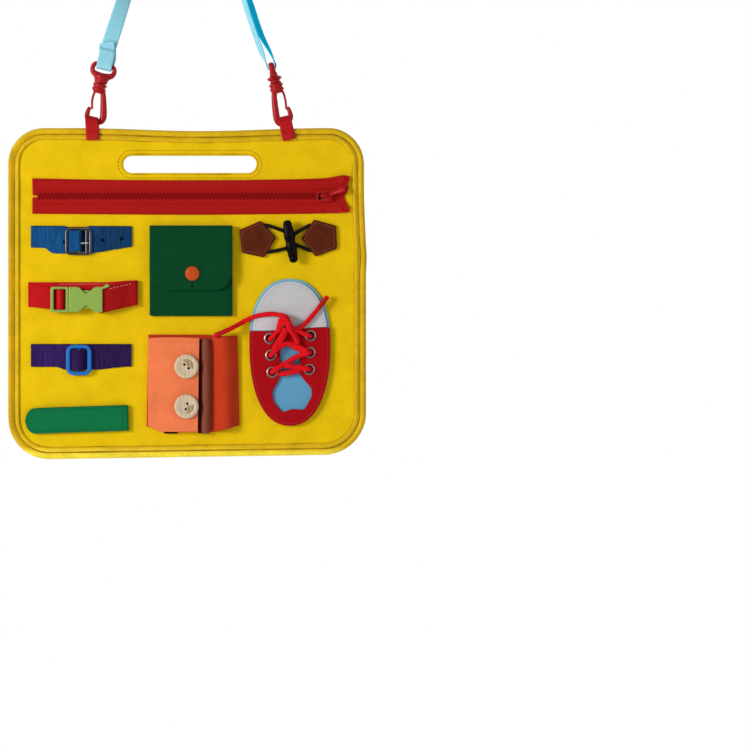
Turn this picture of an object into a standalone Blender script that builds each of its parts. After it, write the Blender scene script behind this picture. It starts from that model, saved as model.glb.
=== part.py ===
"""Felt busy board carried by a webbing strap: a stiff yellow board with dressing fastenings.

Metres, +Z up. The front faces -Y. The origin is where the strap hangs over its peg, and the
board hangs below it, with its middle HANG_HEIGHT under the origin.
"""
import math

import bmesh
import bpy
from mathutils import Matrix, Vector

# Fits shared by all pieces
GAP = 0.0003
OVERRUN = 0.004

# Board: a stiff core between two felt panels, with a binding tape round the edge
BOARD_WIDTH = 0.300
BOARD_HEIGHT = 0.275
CORNER_TOP = 0.030
CORNER_BOTTOM = 0.035
CORE_THICK = 0.0040
FELT_THICK = 0.0020
CORE_INSET = 0.0015
BINDING_THICK = 0.0009
BINDING_REACH = 0.0095
BINDING_ROUND = 0.0007
SLOT_LENGTH = 0.1118
SLOT_HEIGHT = 0.0145
SLOT_X = 0.0023
SLOT_DROP = 0.0295
FACE = CORE_THICK / 2 + GAP + FELT_THICK
EDGE = FACE + GAP + BINDING_THICK

# Shoulder strap, its peg and its adjuster
HANG_HEIGHT = 0.370
PEG_RADIUS = 0.018
STRAP_WIDTH = 0.0130
STRAP_THICK = 0.0011
STRAP_SEAM_REACH = 0.0180
STRAP_EASE = 0.0008
ADJUSTER_PLACE_SHARE = 0.535
ADJUSTER_WIDTH = 0.0200
ADJUSTER_PITCH = 0.0080
ADJUSTER_BAR = 0.0026
ADJUSTER_THICK = 0.0018

# Snap hooks
HOOK_LEFT_X = -0.0728
HOOK_RIGHT_X = 0.0743
HOOK_RISE = 0.0383
HOOK_LEAN_DEG = 13.0
EYE_WIDTH = 0.0200
EYE_HEIGHT = 0.0183
EYE_NECK = 0.0090
EYE_THICK = 0.0045
EYE_BAR = 0.0045
EYE_SLOT_WIDTH = 0.0146
EYE_SLOT_HEIGHT = 0.0045
EYE_LIP_RADIUS = 0.0056
EYE_LIP_THICK = 0.0014
COLLAR_RADIUS = 0.0050
COLLAR_HEIGHT = 0.0080
BOW_HALF = 0.0088
BOW_DROP = 0.0322
BOW_RADIUS = 0.0023
GATE_RADIUS = 0.0009
BOW_SHARES = (
    (0.34, 0.16), (0.48, 0.30), (0.74, 0.52), (0.98, 0.76), (1.00, 0.91), (0.80, 0.99),
    (0.34, 1.00), (-0.34, 1.00), (-0.80, 0.99), (-1.01, 0.92), (-1.04, 0.82),
)
GATE_SHARES = ((-0.41, 0.276), (-0.55, 0.42), (-0.72, 0.60), (-0.875, 0.79))

# Webbing loops that the hooks hold
LOOP_WIDTH = 0.0110
LOOP_THICK = 0.0013
LOOP_LEFT_X = -0.0788
LOOP_RIGHT_X = 0.0858
LOOP_LAP = 0.0093

# Zipper
ZIP_LEFT = -0.1297
ZIP_RIGHT = 0.1364
ZIP_Z = 0.0812
TAPE_WIDTH = 0.0306
TAPE_THICK = 0.0009
TAPE_NOTCH = 0.0050
TEETH_LEFT = -0.1249
TEETH_RIGHT = 0.1106
TEETH_HEIGHT = 0.0050
TEETH_ROOT = 0.0034
TEETH_THICK = 0.0018
TEETH_COUNT = 62
SLIDER_X = 0.1150
SLIDER_LENGTH = 0.0125
SLIDER_WIDTH = 0.0095
SLIDER_WALL = 0.0010
BRIDGE_RADIUS = 0.0008
BRIDGE_HALF = 0.0034
PULL_LENGTH = 0.0225
PULL_WIDTH = 0.0058
PULL_RING = 0.0072
PULL_BAR = 0.0014
PULL_HOLE_LENGTH = 0.0053
PULL_HOLE_WIDTH = 0.0050
PULL_SKEW_DEG = 20.0

# Blue belt with its metal buckle
BELT_LEFT = -0.1308
BELT_RIGHT = -0.0461
BELT_Z = 0.0474
BELT_WIDTH = 0.0184
BELT_PINCH_SHARE = 0.10
BELT_THICK = 0.0012
BELT_SAG = 0.0046
BELT_ARCH_X = -0.0930
BELT_ARCH_HALF = 0.0060
BELT_ARCH_RISE = 0.0042
BELT_HOLE = 0.0034
BELT_HOLE_X = -0.0860
BELT_HOLE_PITCH = 0.0160
BUCKLE_X = -0.0909
BUCKLE_Z = 0.0431
BUCKLE_WIDTH = 0.0224
BUCKLE_HEIGHT = 0.0228
BUCKLE_CORNER = 0.0032
BUCKLE_WIRE = 0.0011
BUCKLE_PIN_INSET = 0.0046
BUCKLE_PIN_RADIUS = 0.0008
PRONG_RADIUS = 0.0005
PRONG_LENGTH = 0.0105
PRONG_DIP = 0.0011

# Red strap with its side-release clip
RED_LEFT = -0.1330
RED_RIGHT = -0.0448
RED_Z = -0.0014
RED_WIDTH = 0.0208
RED_THICK = 0.0012
RED_FOLD_RISE = 0.0042
RED_END_RISE = 0.0034
RED_END_WIDTH = 0.0192
RED_END_PINCH_SHARE = 0.12
CLIP_LEFT = -0.0985
CLIP_RIGHT = -0.0705
CLIP_Z = -0.0055
CLIP_HEIGHT = 0.0210
CLIP_THICK = 0.0070
CLIP_WAIST_X = -0.0838
CLIP_WAIST_HALF = 0.0078
CLIP_WAIST_DEPTH = 0.0056
CLIP_ROUND = 0.0008
CLIP_HORN = 0.0062
CLIP_CAVITY_HEIGHT = 0.0158
CLIP_CAVITY_DEEP = 0.0032
CLIP_CAVITY_LENGTH = 0.0235
CLIP_TONGUE_HEIGHT = 0.0046
CLIP_TONGUE_LENGTH = 0.0180
CLIP_ARM_THICK = 0.0018
CLIP_ARM_LENGTH = 0.0190
CLIP_ARM_PAD = 0.0030
LADDER_LEFT = -0.1140
LADDER_HEIGHT = 0.0212
LADDER_BAR = 0.0024
LADDER_THICK = 0.0044
LADDER_ARCH_HALF = 0.0048

# Purple strap with its adjusting slide
PURPLE_LEFT = -0.1308
PURPLE_RIGHT = -0.0463
PURPLE_Z = -0.0524
PURPLE_WIDTH = 0.0190
PURPLE_THICK = 0.0012
PURPLE_SAG = 0.0028
SLIDE_X = -0.0905
SLIDE_Z = -0.0562
SLIDE_WIDTH = 0.0222
SLIDE_HEIGHT = 0.0258
SLIDE_CORNER = 0.0052
SLIDE_BAR = 0.0047
SLIDE_RAIL = 0.0035
SLIDE_THICK = 0.0030
SLIDE_MIDDLE_BAR = 0.0026
SLIDE_ARCH_HALF = 0.0060
SLIDE_ARCH_RISE = 0.0034

# Green hook-and-loop strap
GREEN_LEFT = -0.1352
GREEN_RIGHT = -0.0490
GREEN_Z = -0.1066
GREEN_WIDTH = 0.0215
GREEN_THICK = 0.0015
GREEN_TIP_SHARE = 0.36
GREEN_TILT_DEG = 1.9
GREEN_RISE_SHARE = 0.18
LOOP_PAD_LENGTH = 0.0600
LOOP_PAD_THICK = 0.0010
HOOK_PAD_LENGTH = 0.0460
HOOK_PAD_THICK = 0.0008
PAD_INSET = 0.0016

# Dark green pocket with its flap and snap
POCKET_X = 0.0035
POCKET_TOP = 0.0566
POCKET_BOTTOM = -0.0193
POCKET_WIDTH = 0.0694
POCKET_FELT = 0.0014
POCKET_MOUTH_DROP = 0.0186
FLAP_END = 0.0024
FLAP_CORNER = 0.0150
SNAP_X = 0.0047
SNAP_Z = 0.0163
SNAP_RADIUS = 0.0060
SNAP_DOME = 0.0017
SNAP_POST_RADIUS = 0.0022
STUD_RADIUS = 0.0040
STUD_RIM = 0.0007
STUD_PIN_RADIUS = 0.0016
SNAP_SPACE = 0.0019

# Toggle closure: leather patches, two cords and a bar
PATCH_THICK = 0.0020
PATCH_SIZE = 0.0153
PATCH_ROUND = 0.0006
PATCH_LEFT_X = 0.0581
PATCH_LEFT_Z = 0.0447
PATCH_LEFT_TURN_DEG = 5.0
PATCH_RIGHT_X = 0.1117
PATCH_RIGHT_Z = 0.0466
PATCH_RIGHT_TURN_DEG = 174.0
TOGGLE_X = 0.0868
TOGGLE_Z = 0.0431
TOGGLE_LENGTH = 0.0362
TOGGLE_RADIUS = 0.0035
TOGGLE_LEAN_DEG = 10.0
TOGGLE_CORD_RADIUS = 0.0012
TOGGLE_SPREAD_UP = 0.0123
TOGGLE_SPREAD_DOWN = 0.0093
TOGGLE_NECK_UP = 0.0090
TOGGLE_NECK_DOWN = 0.0056
TOGGLE_TURN = 0.0030

# Orange pouch with two wooden buttons
POUCH_LEFT = -0.0336
POUCH_RIGHT = 0.0430
POUCH_TOP = -0.0348
POUCH_BOTTOM = -0.1165
POUCH_FELT = 0.0014
POUCH_RISE = 0.0056
POUCH_SWELL_X = 0.0326
POUCH_SWELL_HALF = 0.0120
FLAP_LEFT = -0.0330
FLAP_RIGHT = 0.0098
FLAP_RISE = 0.0036
FLAP_FELT = 0.0015
FLAP_DROP = 0.0030
STRIP_X = 0.0153
STRIP_WIDTH = 0.0098
STRIP_TALL = 0.0048
STRIP_LENGTH = 0.0790
BUTTON_X = -0.0001
BUTTON_UPPER_Z = -0.0615
BUTTON_LOWER_Z = -0.0950
BUTTON_RADIUS = 0.01025
BUTTON_THICK = 0.0026
BUTTON_HOLE = 0.0010
BUTTON_HOLE_PITCH = 0.0047
BUTTON_DISH = 0.0006

# Felt shoe with eyelets and lace
SHOE_X = 0.0863
SHOE_TOP = 0.0118
SHOE_BOTTOM = -0.1113
SHOE_WIDTH = 0.0680
SHOE_WAIST_SHARE = 0.44
SHOE_FELT = 0.0014
SHOE_LEATHER = 0.0016
SHOE_RIM = 0.0022
CAP_EDGE_Z = -0.0300
UPPER_LIP = 0.0010
OPENING_SHARES = (
    (0.54, 0.655), (0.75, 0.748), (0.75, 0.805), (0.655, 0.895), (0.52, 0.885), (0.39, 0.91),
    (0.285, 0.835), (0.27, 0.77), (0.375, 0.675), (0.375, 0.42), (0.54, 0.42),
)
EYELET_RADIUS = 0.00475
EYELET_BORE = 0.0029
EYELET_THICK = 0.0009
EYELET_LEFT_X = 0.0703
EYELET_RIGHT_X = 0.1031
EYELET_TOP_Z = -0.0382
EYELET_PITCH = 0.0141
LACE_RADIUS = 0.0018
KNOT_X = 0.0827
KNOT_Z = -0.0222
KNOT_RADIUS = 0.0047


def frame_at(name, location, turn_y=0.0, parent=None):
    """An empty that carries pieces."""
    empty = bpy.data.objects.new(name, None)
    empty.empty_display_size = BOARD_WIDTH / 10
    bpy.context.scene.collection.objects.link(empty)
    empty.parent = parent
    empty.location = location
    empty.rotation_euler = (0, turn_y, 0)
    return empty


def material(name, colour, roughness, metallic=0.0):
    made = bpy.data.materials.new(name)
    made.use_nodes = True
    shader = made.node_tree.nodes["Principled BSDF"]
    shader.inputs["Base Color"].default_value = (*colour, 1.0)
    shader.inputs["Roughness"].default_value = roughness
    shader.inputs["Metallic"].default_value = metallic
    return made


YELLOW = ((0.80, 0.50, 0.01), 0.95)
PALE_YELLOW = ((0.83, 0.66, 0.05), 0.95)
GREY_BOARD = ((0.30, 0.27, 0.22), 0.8)
RED_PLASTIC = ((0.45, 0.01, 0.01), 0.3)
RED_WEBBING = ((0.50, 0.01, 0.015), 0.8)
SKY_WEBBING = ((0.20, 0.56, 0.72), 0.7)
BELT_BLUE = ((0.01, 0.10, 0.36), 0.6)
STEEL = ((0.62, 0.60, 0.58), 0.3, 1.0)
CLIP_GREEN = ((0.28, 0.46, 0.08), 0.4)
PURPLE_WEBBING = ((0.045, 0.012, 0.16), 0.8)
SLIDE_BLUE = ((0.01, 0.20, 0.60), 0.35)
STRAP_GREEN = ((0.005, 0.19, 0.08), 0.85)
POCKET_GREEN = ((0.004, 0.06, 0.02), 0.9)
SNAP_ORANGE = ((0.75, 0.10, 0.03), 0.35)
LEATHER = ((0.12, 0.022, 0.012), 0.6)
BLACK = ((0.004, 0.004, 0.005), 0.35)
ORANGE_FELT = ((0.80, 0.19, 0.07), 0.9)
RUST_FELT = ((0.52, 0.045, 0.01), 0.9)
WOOD = ((0.66, 0.56, 0.42), 0.6)
SHOE_BLUE = ((0.11, 0.33, 0.50), 0.9)
SHOE_GREY = ((0.55, 0.55, 0.56), 0.9)
SHOE_RED = ((0.40, 0.003, 0.008), 0.85)
LACE_RED = ((0.68, 0.008, 0.012), 0.8)


def begin():
    """Empties the scene and makes the collections."""
    for item in list(bpy.data.objects):
        bpy.data.objects.remove(item, do_unlink=True)
    model = bpy.data.collections.new("busy_board_backpack")
    tools = bpy.data.collections.new("cutters")
    for made in (model, tools):
        bpy.context.scene.collection.children.link(made)
    return model, tools


MODEL, TOOLS = begin()
BOARD = frame_at("board_frame", (0, 0, -HANG_HEIGHT))


def keep(obj, look, parent=None):
    """Puts an object among the parts, with a material of its own."""
    MODEL.objects.link(obj)
    obj.data.materials.clear()
    obj.data.materials.append(material(obj.name, *look))
    obj.parent = parent if parent is not None else BOARD
    return obj


def tool(obj):
    """Marks an object as a cutter or a guide."""
    TOOLS.objects.link(obj)
    obj.hide_render = True
    obj.display_type = "WIRE"
    if obj.parent is None:
        obj.parent = BOARD
    return obj


def outward(depth):
    """The y of a place in front of the board's face."""
    return -(FACE + depth)


def mesh_of(curve_object):
    """A welded mesh from a curve, which is removed."""
    TOOLS.objects.link(curve_object)
    bpy.context.view_layer.update()
    seen = curve_object.evaluated_get(bpy.context.evaluated_depsgraph_get())
    mesh = bpy.data.meshes.new_from_object(seen)
    bm = bmesh.new()
    bm.from_mesh(mesh)
    bmesh.ops.remove_doubles(bm, verts=bm.verts, dist=GAP / 30)
    bmesh.ops.recalc_face_normals(bm, faces=bm.faces)
    bm.to_mesh(mesh)
    bm.free()
    bpy.data.objects.remove(curve_object, do_unlink=True)
    return mesh


def sheet(name, outlines, thickness, rounding=0.0, segments=2):
    """A flat piece that faces the viewer, from a closed outline in x and z and any holes."""
    curve = bpy.data.curves.new(name, "CURVE")
    curve.dimensions = "2D"
    curve.fill_mode = "BOTH"
    curve.extrude = thickness / 2
    for points in outlines:
        spline = curve.splines.new("POLY")
        spline.points.add(len(points) - 1)
        for made, (x, z) in zip(spline.points, points):
            made.co = (x, z, 0, 1)
        spline.use_cyclic_u = True
    mesh = mesh_of(bpy.data.objects.new(name, curve))
    mesh.transform(Matrix.Rotation(math.radians(90), 4, "X"))
    mesh.name = name
    obj = bpy.data.objects.new(name, mesh)
    if rounding:
        round_edges(obj, rounding, segments)
    return obj


def round_edges(obj, width, segments=2):
    bevel = obj.modifiers.new("rounding", "BEVEL")
    bevel.width = width
    bevel.segments = segments
    bevel.limit_method = "ANGLE"
    bevel.angle_limit = math.radians(40)
    return obj


def cut(obj, cutter, operation="DIFFERENCE"):
    change = obj.modifiers.new(operation.lower(), "BOOLEAN")
    change.operation = operation
    change.solver = "EXACT"
    change.object = cutter
    return obj


def rounded_box(width, height, radii, x=0.0, z=0.0, steps=6):
    """Outline with rounded corners; radii are for the two upper and the two lower corners."""
    upper, lower = radii
    corners = (
        (1, 1, upper, 0), (-1, 1, upper, 90), (-1, -1, lower, 180), (1, -1, lower, 270),
    )
    points = []
    for side, rise, radius, start in corners:
        middle_x = x + side * (width / 2 - radius)
        middle_z = z + rise * (height / 2 - radius)
        for step in range(steps + 1):
            angle = math.radians(start + 90 * step / steps)
            points.append(
                (middle_x + radius * math.cos(angle), middle_z + radius * math.sin(angle))
            )
    return points


def ring_profile(inner, outer, half):
    """A round-edged ring's section, for a turned piece."""
    middle = (inner + outer) / 2
    reach = (outer - inner) / 2
    return [
        (middle + reach * math.cos(math.radians(a)), half * math.sin(math.radians(a)))
        for a in range(90, -270, -60)
    ]


def turned(name, profile, steps=20, closed=False):
    """A turned piece whose axis points at the viewer: profile runs down the outer side."""
    mesh = bpy.data.meshes.new(name)
    count = len(profile)
    edges = [(i, i + 1) for i in range(count - 1)]
    if closed:
        edges.append((count - 1, 0))
    mesh.from_pydata([(radius, 0, along) for radius, along in profile], edges, [])
    obj = bpy.data.objects.new(name, mesh)
    screw = obj.modifiers.new("turning", "SCREW")
    screw.axis = "Z"
    screw.angle = math.radians(360)
    screw.steps = steps
    screw.render_steps = steps
    screw.use_merge_vertices = True
    screw.merge_threshold = GAP / 30
    obj.rotation_euler = (math.radians(90), 0, 0)
    return obj


def smooth_path(points, steps=4):
    """A curve through the points, read at even steps between each two."""
    points = [Vector(p) for p in points]
    ends = [2 * points[0] - points[1]] + points + [2 * points[-1] - points[-2]]
    path = []
    for i in range(len(points) - 1):
        a, b, c, d = ends[i : i + 4]
        for step in range(steps):
            t = step / steps
            path.append(
                0.5
                * (
                    2 * b
                    + (c - a) * t
                    + (2 * a - 5 * b + 4 * c - d) * t * t
                    + (3 * b - a - 3 * c + d) * t**3
                )
            )
    path.append(points[-1])
    return path


def tube(name, points, radius, closed=False, resolution=2):
    """A round wire or cord along a path."""
    curve = bpy.data.curves.new(name, "CURVE")
    curve.dimensions = "3D"
    curve.bevel_depth = radius
    curve.bevel_resolution = resolution
    curve.use_fill_caps = True
    spline = curve.splines.new("POLY")
    spline.points.add(len(points) - 1)
    for made, place in zip(spline.points, points):
        made.co = (*place, 1)
    spline.use_cyclic_u = closed
    return bpy.data.objects.new(name, curve)


def solid_tube(name, points, radius, closed=False, resolution=2):
    """The same as a mesh, for pieces that are cut or joined."""
    mesh = mesh_of(tube(name, points, radius, closed, resolution))
    mesh.name = name
    return bpy.data.objects.new(name, mesh)


def band(name, stations, width, thickness):
    """A webbing band: each station is its middle, the direction across it and its width share."""
    mesh = bpy.data.meshes.new(name)
    bm = bmesh.new()
    rows = []
    for middle, side, *share in stations:
        reach = Vector(side).normalized() * (width / 2 * (share[0] if share else 1.0))
        rows.append([bm.verts.new(Vector(middle) + reach * sign) for sign in (-1, 1)])
    for before, after in zip(rows, rows[1:]):
        bm.faces.new((before[0], before[1], after[1], after[0]))
    bm.to_mesh(mesh)
    bm.free()
    obj = bpy.data.objects.new(name, mesh)
    wall = obj.modifiers.new("thickness", "SOLIDIFY")
    wall.thickness = thickness
    wall.offset = 0
    wall.use_even_offset = True
    return obj


def bump(x, middle, half, sharp=1.0):
    """A smooth rise from 0 to 1 and back."""
    if abs(x - middle) >= half:
        return 0.0
    return (0.5 + 0.5 * math.cos(math.pi * (x - middle) / half)) ** sharp


def spaced(left, right, count):
    return [left + (right - left) * i / (count - 1) for i in range(count)]


def box(name, size, location):
    """A rectangular block."""
    mesh = bpy.data.meshes.new(name)
    bm = bmesh.new()
    bmesh.ops.create_cube(bm, size=1.0)
    bmesh.ops.scale(bm, vec=size, verts=bm.verts)
    bm.to_mesh(mesh)
    bm.free()
    obj = bpy.data.objects.new(name, mesh)
    obj.location = location
    return obj


def slot_outline(grow=0.0):
    height = SLOT_HEIGHT + 2 * grow
    radius = height / 2
    return rounded_box(
        SLOT_LENGTH + 2 * grow, height, (radius, radius), SLOT_X, BOARD_HEIGHT / 2 - SLOT_DROP
    )


def board_outline(inset):
    return rounded_box(
        BOARD_WIDTH - 2 * inset,
        BOARD_HEIGHT - 2 * inset,
        (CORNER_TOP - inset, CORNER_BOTTOM - inset),
        steps=8,
    )


def make_board():
    panel_inset = BINDING_THICK + GAP
    outlines = (board_outline(panel_inset), slot_outline())
    felt_y = CORE_THICK / 2 + GAP + FELT_THICK / 2
    front = keep(sheet("front_panel", outlines, FELT_THICK), YELLOW)
    front.location = (0, -felt_y, 0)
    back = keep(sheet("back_panel", outlines, FELT_THICK), PALE_YELLOW)
    back.location = (0, felt_y, 0)
    inner = (board_outline(panel_inset + CORE_INSET), slot_outline(CORE_INSET))
    keep(sheet("core_board", inner, CORE_THICK), GREY_BOARD)

    binding = sheet("edge_binding", (board_outline(0.0),), 2 * EDGE, BINDING_ROUND, 2)
    keep(binding, YELLOW)
    pocket = tool(sheet("binding_inside", (board_outline(BINDING_THICK),), 2 * (FACE + GAP)))
    window = tool(sheet("binding_window", (board_outline(BINDING_REACH),), 2 * EDGE + OVERRUN))
    cut(binding, pocket)
    cut(binding, window)


def hook_frame(side, x):
    lean = math.radians(HOOK_LEAN_DEG) * -side
    name = "hook_frame_right" if side > 0 else "hook_frame_left"
    return frame_at(name, (x, 0, BOARD_HEIGHT / 2 + HOOK_RISE), lean, BOARD)


def eye_outline():
    """The hook's eye: a tapering body under a straight bar."""
    half = EYE_WIDTH / 2
    neck = EYE_NECK / 2
    shoulder = EYE_HEIGHT - EYE_BAR - EYE_SLOT_HEIGHT
    corner = EYE_BAR * 0.62
    top = [
        (
            sign * (half - corner) + corner * math.cos(math.radians(a)),
            EYE_HEIGHT - corner + corner * math.sin(math.radians(a)),
        )
        for sign, angles in ((1, (0, 30, 60, 90)), (-1, (90, 120, 150, 180)))
        for a in angles
    ]
    return [(neck, GAP), (half, shoulder)] + top + [(-half, shoulder), (-neck, GAP)]


def make_hook(side, x):
    """One snap hook: eye, swivelling hook with its collar, and sprung gate."""
    end = "right" if side > 0 else "left"
    carrier = hook_frame(side, x)
    slot_z = EYE_HEIGHT - EYE_BAR - EYE_SLOT_HEIGHT / 2
    slot = rounded_box(
        EYE_SLOT_WIDTH, EYE_SLOT_HEIGHT, (EYE_SLOT_HEIGHT / 4, EYE_SLOT_HEIGHT / 4), 0, slot_z, 2
    )
    eye = sheet(f"hook_{end}_eye", (eye_outline(), slot), EYE_THICK, EYE_THICK / 8, 1)
    keep(eye, RED_PLASTIC, carrier)
    if side > 0:
        eye.rotation_euler = (0, 0, math.radians(90))
    lip = turned(
        f"eye_lip_{end}",
        [(0, GAP + EYE_LIP_THICK), (EYE_LIP_RADIUS, GAP + EYE_LIP_THICK), (EYE_LIP_RADIUS, GAP), (0, GAP)],
        12,
    )
    lip.rotation_euler = (0, 0, 0)
    lip.parent = carrier
    cut(eye, tool(lip), "UNION")

    bow = [(-side * px * BOW_HALF, 0, -pz * BOW_DROP) for px, pz in BOW_SHARES]
    hook = keep(
        solid_tube(f"hook_{end}", smooth_path(bow, 3), BOW_RADIUS, resolution=2),
        RED_PLASTIC,
        carrier,
    )
    soft = COLLAR_RADIUS / 6
    collar = turned(
        f"collar_{end}",
        [
            (0, 0),
            (COLLAR_RADIUS - soft, 0),
            (COLLAR_RADIUS, -soft),
            (COLLAR_RADIUS, -COLLAR_HEIGHT * 0.55),
            (COLLAR_RADIUS * 0.86, -COLLAR_HEIGHT),
            (0, -COLLAR_HEIGHT),
        ],
        16,
    )
    collar.rotation_euler = (0, 0, 0)
    collar.parent = carrier
    cut(hook, tool(collar), "UNION")

    route = [Vector((-side * px * BOW_HALF, 0, -pz * BOW_DROP)) for px, pz in GATE_SHARES]
    pivot = route[0]
    gate = keep(
        tube(f"hook_{end}_gate", [p - pivot for p in smooth_path(route, 2)], GATE_RADIUS),
        RED_PLASTIC,
        carrier,
    )
    gate.location = pivot
    return carrier


def make_loop(name, side, x, top_x):
    """A webbing loop over the board's top edge, with one leg sewn on each side."""
    edge = BOARD_HEIGHT / 2
    radius = EDGE + GAP + LOOP_THICK / 2
    bottom = edge - LOOP_LAP
    bow_top = HOOK_RISE + edge - (BOW_DROP - BOW_RADIUS) * math.cos(math.radians(HOOK_LEAN_DEG))
    centre = bow_top + 2 * GAP + LOOP_THICK / 2 - radius
    lean = math.radians(HOOK_LEAN_DEG)
    stations = []
    for z in spaced(bottom, centre, 3):
        stations.append((-radius, z))
    for step in range(1, 9):
        angle = math.pi * step / 9
        stations.append((-radius * math.cos(angle), centre + radius * math.sin(angle)))
    for z in spaced(centre, bottom, 3):
        stations.append((radius, z))
    path = []
    for y, z in stations:
        share = (z - bottom) / (centre + radius - bottom)
        turn = side * lean * share
        path.append(
            ((x + (top_x - x) * share, y, z), (math.cos(turn), 0, math.sin(turn)))
        )
    keep(band(name, path, LOOP_WIDTH, LOOP_THICK), RED_WEBBING)


def strap_route():
    """The strap's own way, from its end sewn on the adjuster to its end sewn by the left eye."""
    lean = math.radians(HOOK_LEAN_DEG)
    rise = BOARD_HEIGHT / 2 + HOOK_RISE
    clear = STRAP_EASE + STRAP_THICK / 2
    bar_z = EYE_HEIGHT - EYE_BAR / 2
    around = EYE_THICK / 2 + clear
    below = EYE_BAR / 2 + clear
    peg = Vector((0, 0, HANG_HEIGHT - PEG_RADIUS))
    radius = PEG_RADIUS + STRAP_THICK / 2

    def by_right_eye(across, up):
        along = bar_z + up
        return Vector(
            (
                HOOK_RIGHT_X + across * math.cos(lean) - along * math.sin(lean),
                0,
                rise + across * math.sin(lean) + along * math.cos(lean),
            )
        )

    def by_left_eye(y, up):
        along = bar_z + up
        return Vector(
            (HOOK_LEFT_X + along * math.sin(lean), y, rise + along * math.cos(lean))
        )

    start = by_right_eye(0, 0)
    to_peg = peg - start
    swing = math.atan2(-to_peg.x, to_peg.z) - math.asin(radius / to_peg.length)
    ahead = Vector((-math.sin(swing), 0, math.cos(swing)))
    across = Vector((math.cos(swing), 0, math.sin(swing)))
    place = start + ahead * (to_peg.length * ADJUSTER_PLACE_SHARE)

    def by_adjuster(along, off):
        return place + ahead * along + across * off

    y_axis = Vector((0, 1, 0))
    weave = ADJUSTER_THICK / 2 + clear
    pitch = ADJUSTER_PITCH
    bar = ADJUSTER_BAR / 2
    right = [
        (by_adjuster(bar, -weave), y_axis),
        (by_adjuster(-bar, -weave), y_axis),
        (by_adjuster(-pitch + bar, -1.75 * weave), y_axis),
        (by_adjuster(-2 * pitch, -2 * weave), y_axis),
        (by_right_eye(-around, below + EYE_BAR * 5), y_axis),
        (by_right_eye(-around, below), y_axis),
        (by_right_eye(-around, -below / 3), y_axis),
        (by_right_eye(-around / 2, -below), y_axis),
        (by_right_eye(around / 2, -below), y_axis),
        (by_right_eye(around, -below / 3), y_axis),
        (by_right_eye(around, below), y_axis),
        (by_right_eye(around * 0.9, below + EYE_BAR * 5), y_axis),
        (by_adjuster(-2 * pitch, -weave), y_axis),
        (by_adjuster(-pitch - bar, -weave), y_axis),
        (by_adjuster(-pitch + bar, -weave), y_axis),
        (by_adjuster(-bar, weave), y_axis),
        (by_adjuster(bar, weave), y_axis),
        (by_adjuster(pitch - bar, -weave), y_axis),
        (by_adjuster(pitch + bar, -weave), y_axis),
        (by_adjuster(2 * pitch, -weave / 2), y_axis),
    ]
    seam = STRAP_SEAM_REACH
    lean_side = Vector((math.cos(lean), 0, -math.sin(lean)))
    joined = by_left_eye(clear / 2, seam)
    to_joined = joined - peg
    left_swing = math.atan2(-to_joined.x, -to_joined.z) - math.asin(radius / to_joined.xz.length)
    over = []
    for angle in spaced(swing, math.pi - left_swing, 9):
        over.append(
            (peg + radius * Vector((math.cos(angle), 0, math.sin(angle))), y_axis)
        )
    left = [
        (joined, lean_side),
        (by_left_eye(clear, seam * 0.8), lean_side),
        (by_left_eye(around * 0.8, below * 1.7), lean_side),
        (by_left_eye(around, below / 2), lean_side),
        (by_left_eye(around, -below / 2), lean_side),
        (by_left_eye(around / 2, -below), lean_side),
        (by_left_eye(-around / 2, -below), lean_side),
        (by_left_eye(-around, -below / 2), lean_side),
        (by_left_eye(-around, below / 2), lean_side),
        (by_left_eye(-around * 0.8, below * 1.7), lean_side),
        (by_left_eye(-clear - GAP, seam * 0.8), lean_side),
        (by_left_eye(-clear - GAP, seam * 1.05), lean_side),
    ]
    untwist = over[-1][0].lerp(joined, 0.5), y_axis.lerp(lean_side, 0.5)
    route = right + over + [untwist] + left
    middles = smooth_path([middle for middle, side in route], 2)
    sides = smooth_path([side for middle, side in route], 2)
    turn = math.atan2(across.z, across.x)
    return list(zip(middles, sides)), place, turn


def make_strap():
    stations, place, turn = strap_route()
    keep(band("shoulder_strap", stations, STRAP_WIDTH, STRAP_THICK), SKY_WEBBING)
    length = 2 * ADJUSTER_PITCH + ADJUSTER_BAR
    window = ADJUSTER_PITCH - ADJUSTER_BAR
    inner = STRAP_WIDTH + 2 * GAP
    holes = [
        rounded_box(inner, window, (window / 6, window / 6), 0, sign * ADJUSTER_PITCH / 2, 2)
        for sign in (-1, 1)
    ]
    outline = rounded_box(ADJUSTER_WIDTH, length, (ADJUSTER_BAR / 2, ADJUSTER_BAR / 2), steps=3)
    adjuster = keep(sheet("strap_adjuster", (outline, *holes), ADJUSTER_THICK), RED_PLASTIC)
    adjuster.location = place
    adjuster.rotation_mode = "ZYX"
    adjuster.rotation_euler = (0, -turn, math.radians(90))


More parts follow.
